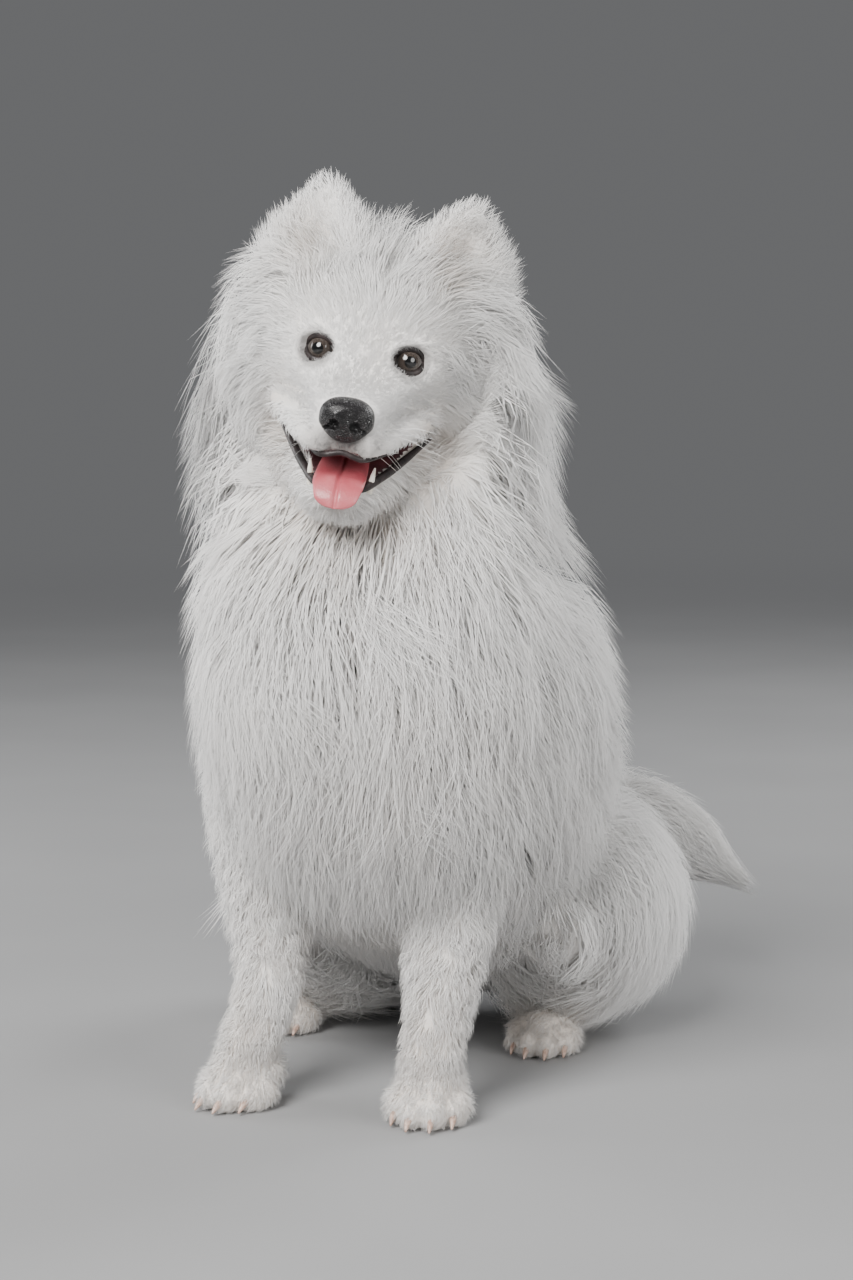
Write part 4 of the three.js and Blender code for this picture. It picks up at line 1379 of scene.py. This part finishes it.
bare = near_line(in_head, UPPER_LIP, 1.6) | near_line(in_head, LOWER_LIP, 2.2)
bare |= (eye_distance(in_head) < 13.6) & (in_head[:, 1] < 12) & (in_head[:, 1] > -22)
build_coat()
build_short_coat()


def whiskers():
    """Long white bristles on the muzzle and over the eyes."""
    random = np.random.default_rng(301)
    spots = []
    for s in (-1, 1):
        for row in range(3):
            for i in range(4):
                spots.append((s * (22 + 1.5 * i), -70 + 8 * i + 2 * row, -44 - 5 * row, s * 0.8, 0.15, -0.25))
        spots += [(s * (22 + 3 * i), 4, 15, s * 0.3, -0.5, 0.8) for i in range(3)]
    spots = np.array(spots) + random.normal(0, 1, (len(spots), 6)) * np.array([1, 1, 1, 0.1, 0.1, 0.1])
    faces = nearest_of(from_head(spots[:, :3]), centres)
    roots, outs = centres[faces], normals[faces]
    way = unit(spots[:, 3:] @ HEAD_TURN.T + 0.3 * outs)
    long = random.uniform(26, 44, len(roots))[:, None]
    paths = np.stack([roots - outs, roots + way * long * 0.5, roots + way * long + [0, 0, -4]], 1)
    hair_pieces("whiskers", long[:, 0], paths, outs, np.full(len(roots), 0.5), np.zeros(len(roots)),
                np.zeros((len(roots), 2)), on_map("face", long[:, 0] / 50, np.zeros(len(roots))))


whiskers()


# Eyes
CORNEA = {"height": 0.7, "width": 0.5}
EYELIDS = [
    # distance outward from the opening's edge, and radius from the eye's centre
    (-0.3, 10.6),
    (-0.3, 11.3),
    (0.2, 11.8),
    (0.9, 12.3),
    (1.8, 13.0),
    (3.0, 13.6),
    (4.6, 13.6),
    (7.0, 11.8),
]


def eyeball(side, name):
    """A ball whose pole is the gaze, with a raised cornea."""
    rings, sides = 40, 48
    turn = turned(z=side * EYE["outward"])
    points, tint = [], []
    for i in range(rings + 1):
        a = math.pi * i / rings
        swell = CORNEA["height"] * math.exp(-((a / CORNEA["width"]) ** 2))
        for j in range(sides):
            b = 2 * math.pi * j / sides
            way = np.array([math.sin(a) * math.cos(b), -math.cos(a), math.sin(a) * math.sin(b)])
            points.append(way * (EYE["radius"] - 0.35 + swell))
            tint.append((a / math.pi, 0.5 + 0.5 * math.sin(b), 0.0))
    points = np.array(points) @ turn.T + eye_middle(side)
    thing = mesh_object(name, from_head(points), ring_faces(rings, sides, outward=False), [IRIS])
    set_tint(thing.data, np.array(tint))
    return recalculated(thing)


def eyelids(side, name):
    """Dark rims round the almond, from the eyeball out to the skin."""
    w, h = EYE_OPENING["half_width"], EYE_OPENING["half_height"]
    slant, turn = math.radians(side * EYE_OPENING["slant"]), turned(z=side * EYE["outward"])
    sides = 64
    points = []
    for step, radius in EYELIDS:
        for j in range(sides):
            b = 2 * math.pi * j / sides
            c, s = math.cos(b), math.sin(b)
            edge = np.array([w * c, (h * 0.98 if s > 0 else h * 0.86) * np.sign(s) * abs(s) ** 1.15])
            out = np.array([c * h, s * w])
            out /= np.linalg.norm(out)
            x, z = edge + out * step
            x, z = x * math.cos(slant) - z * math.sin(slant), x * math.sin(slant) + z * math.cos(slant)
            y = -math.sqrt(max(radius * radius - x * x - z * z, 4.0))
            points.append((x, y, z))
    points = np.array(points) @ turn.T + eye_middle(side)
    faces = ring_faces(len(EYELIDS) - 1, sides, outward=False)
    thing = mesh_object(name, from_head(points), faces, [LIP])
    apply_modifier(thing, "SOLIDIFY", thickness=0.0006, offset=-1)
    return thing


for side, word in ((1, "left"), (-1, "right")):
    eye = eyeball(side, f"eyeball_{word}")
    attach(eye, "root")
    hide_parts(f"eye_{word}")
    lids = eyelids(side, f"eyelids_{word}")
    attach(lids, "root")


# Nose
def make_nose():
    """The nose leather, with its nostrils, their side slits and the groove below."""
    limb = Limb(NOSE, square=2.4, head=True)
    points, faces = limb.mesh(64, 40)
    local = to_head(points)
    low = np.clip(-44 - local[:, 2], 0, 20)
    local[:, 0] *= 1 - 0.024 * low
    local[:, 1] += 0.12 * low
    local[:, 1] += 1.2 * np.exp(-((local[:, 0] / 3.0) ** 2)) * (local[:, 2] < -34)
    thing = mesh_object("nose_leather", from_head(local), faces)
    for s in (-1, 1):
        for centre, size, turn in (
            ((s * 8.6, -98, -44.5), (5.0, 9, 4.6), (0, s * 20, s * 16)),
            ((s * 14.0, -92, -47.5), (5.5, 5, 1.7), (0, s * 28, 0)),
        ):
            cut_ball(thing, centre, size, turn)
    cut_ball(thing, (0, -98, -54), (0.8, 6, 11))
    apply_modifier(thing, "REMESH", mode="VOXEL", voxel_size=NOSE_VOXEL)
    apply_modifier(thing, "SMOOTH", factor=0.5, iterations=5)
    thing.data.materials.clear()
    thing.data.materials.append(LEATHER)
    smoothed(thing)
    return thing


nose = make_nose()
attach(nose, "root")
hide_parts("nose")


# Lips
def make_lip(name, line, node, radius):
    stations = [*[(-x, y, z) for x, y, z in line], *line[:-1][::-1]]
    rows = []
    for p in stations:
        size = radius * (0.45 + 0.55 * float(smoothstep(-p[1], -8, 30)))
        rows.append((*p, size, size, size))
    rim = Limb(rows, across=(0, 0, 1), head=True)
    thing = mesh_object(name, *rim.mesh(14, 90), [LIP])
    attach(thing, "root")
    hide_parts(node)


make_lip("lip_upper", UPPER_LIP, "upper_lip", LIP_RADIUS * 0.8)
make_lip("lip_lower", LOWER_LIP, "lower_lip", LIP_RADIUS * 1.15)


# Tongue, with a groove down its middle
def make_tongue():
    limb = Limb(TONGUE, head=True)
    sides, steps = 112, 70
    points, faces = limb.mesh(sides, steps)
    local = to_head(points)
    rows = np.repeat(np.linspace(0, 1, steps + 1), sides)
    row = np.append(rows, (0, 1))
    tip = np.clip((row - 0.74) / 0.26, 0, 1)
    local[:, 0] *= np.interp(row, [0.3, 0.8], [0.93, 0.84]) * np.sqrt(1 - 0.8 * tip**3)
    angle = np.tile(np.arange(sides) * 2 * math.pi / sides, steps + 1)
    upper = smoothstep(-np.sin(angle), 0.0, 0.5)
    groove = 2.0 * np.exp(-((local[:len(rows), 0] / 1.3) ** 2))
    local[:len(rows)] += limb.at(rows)[3] * (groove * upper)[:, None]
    thing = mesh_object("tongue_flesh", from_head(local), faces, [TONGUE_SKIN])
    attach(thing, "root")
    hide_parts("tongue")


make_tongue()

# Lower canine teeth
for side, word in ((1, "left"), (-1, "right")):
    rows = [
        (side * 20.5, -57, -90, 2.6, 3.0, 3.0),
        (side * 21.5, -60, -80, 2.0, 2.3, 2.3),
        (side * 22.5, -61, -72, 0.6, 0.6, 0.6),
    ]
    tooth = mesh_object(f"canine_{word}", *Limb(rows, head=True).mesh(20, 20), [TOOTH])
    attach(tooth, "root")
    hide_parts(f"canine_lower_{word}")


# Claws
def make_claws(name):
    made = []
    for x, y in TOES:
        claw = Limb([
            (x, y - 10, 10, 3.2, 3.2, 3.2),
            (x * 1.04, y - 17.5, 7, 2.4, 2.6, 2.6),
            (x * 1.06, y - 23, 2.5, 0.7, 0.7, 0.7),
        ])
        points, faces = claw.mesh(12, 12)
        made.append(mesh_object("claw", on_paw(name, points, 0.2), faces, [CLAW]))
    thing = joined(made, f"claws_{name}")
    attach(thing, "root")


for paw_name in PAWS:
    make_claws(paw_name)

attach(skin, "root")
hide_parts("head", "lower_jaw", "ear_left", "ear_right", "neck", "forepaw_left", "forepaw_right",
            "hind_foot_left", "hind_foot_right", "haunch_left", "haunch_right", "trunk", "foreleg_left",
            "foreleg_right", "tail")


# Camera, at the photograph's place and angle
CAMERA = {"at": (693.5, -1897.5, 575), "towards": (-0.307, 0.945, -0.112), "lens": 80.86, "sensor": 36}

camera_data = bpy.data.cameras.new("camera")
camera_data.lens = CAMERA["lens"]
camera_data.sensor_width = CAMERA["sensor"]
camera = bpy.data.objects.new("camera", camera_data)
bpy.context.scene.collection.objects.link(camera)
camera.location = to_scene([CAMERA["at"]])[0]
camera.rotation_euler = Vector(CAMERA["towards"]).to_track_quat("-Z", "Y").to_euler()
bpy.context.scene.camera = camera


# Floor and light
ROOM = (0.145, 0.147, 0.151, 1)
FLOOR_REACH = 12000


def floor_material():
    """A pale floor that fades into the room's grey in the distance."""
    m = Nodes("floor")
    m.link(m.patches(m.noise(3, 2), (0.30, 0.302, 0.307, 1), (0.325, 0.327, 0.332, 1), low=0.3), "Base Color")
    m.set(Roughness=0.75)
    far = m.add("ShaderNodeVectorMath", {0: m.place()}, operation="LENGTH").outputs["Value"]
    fade = m.add("ShaderNodeMapRange", {"Value": far, "From Min": 0.8, "From Max": 5.0},
                 interpolation_type="SMOOTHSTEP").outputs["Result"]
    room = m.add("ShaderNodeEmission", {"Color": ROOM}).outputs["Emission"]
    mixed = m.add("ShaderNodeMixShader", {0: fade, 1: m.shader.outputs[0], 2: room}).outputs[0]
    m.tree.links.new(mixed, m.tree.nodes["Material Output"].inputs["Surface"])
    return m.material


corners = [(x * FLOOR_REACH, y * FLOOR_REACH, 0) for x, y in ((-1, -1), (1, -1), (1, 1), (-1, 1))]
floor = mesh_object("floor", corners, [(0, 1, 2, 3)], [floor_material()])

world = bpy.data.worlds.new("studio")
bpy.context.scene.world = world
world.use_nodes = True
background = world.node_tree.nodes["Background"]
background.inputs["Color"].default_value = ROOM
background.inputs["Strength"].default_value = 1.0


def soft_light(name, at, towards, width, power, colour=(1, 1, 1)):
    data = bpy.data.lights.new(name, "AREA")
    data.shape = "DISK"
    data.size = width
    data.energy = power
    data.color = colour
    lamp = bpy.data.objects.new(name, data)
    bpy.context.scene.collection.objects.link(lamp)
    lamp.location = at
    lamp.rotation_euler = (Vector(towards) - Vector(at)).to_track_quat("-Z", "Y").to_euler()


soft_light("key", (-0.4, -2.5, 2.0), (0, -0.05, 0.40), 1.8, 165, (1, 0.985, 0.965))
soft_light("fill", (2.6, -1.4, 1.1), (0, 0, 0.35), 2.0, 50, (1, 0.99, 0.975))
soft_light("back", (1.4, 2.4, 1.8), (0, 0, 0.4), 1.6, 60)
soft_light("side", (-2.6, 0.2, 1.2), (0, 0, 0.35), 1.8, 48)
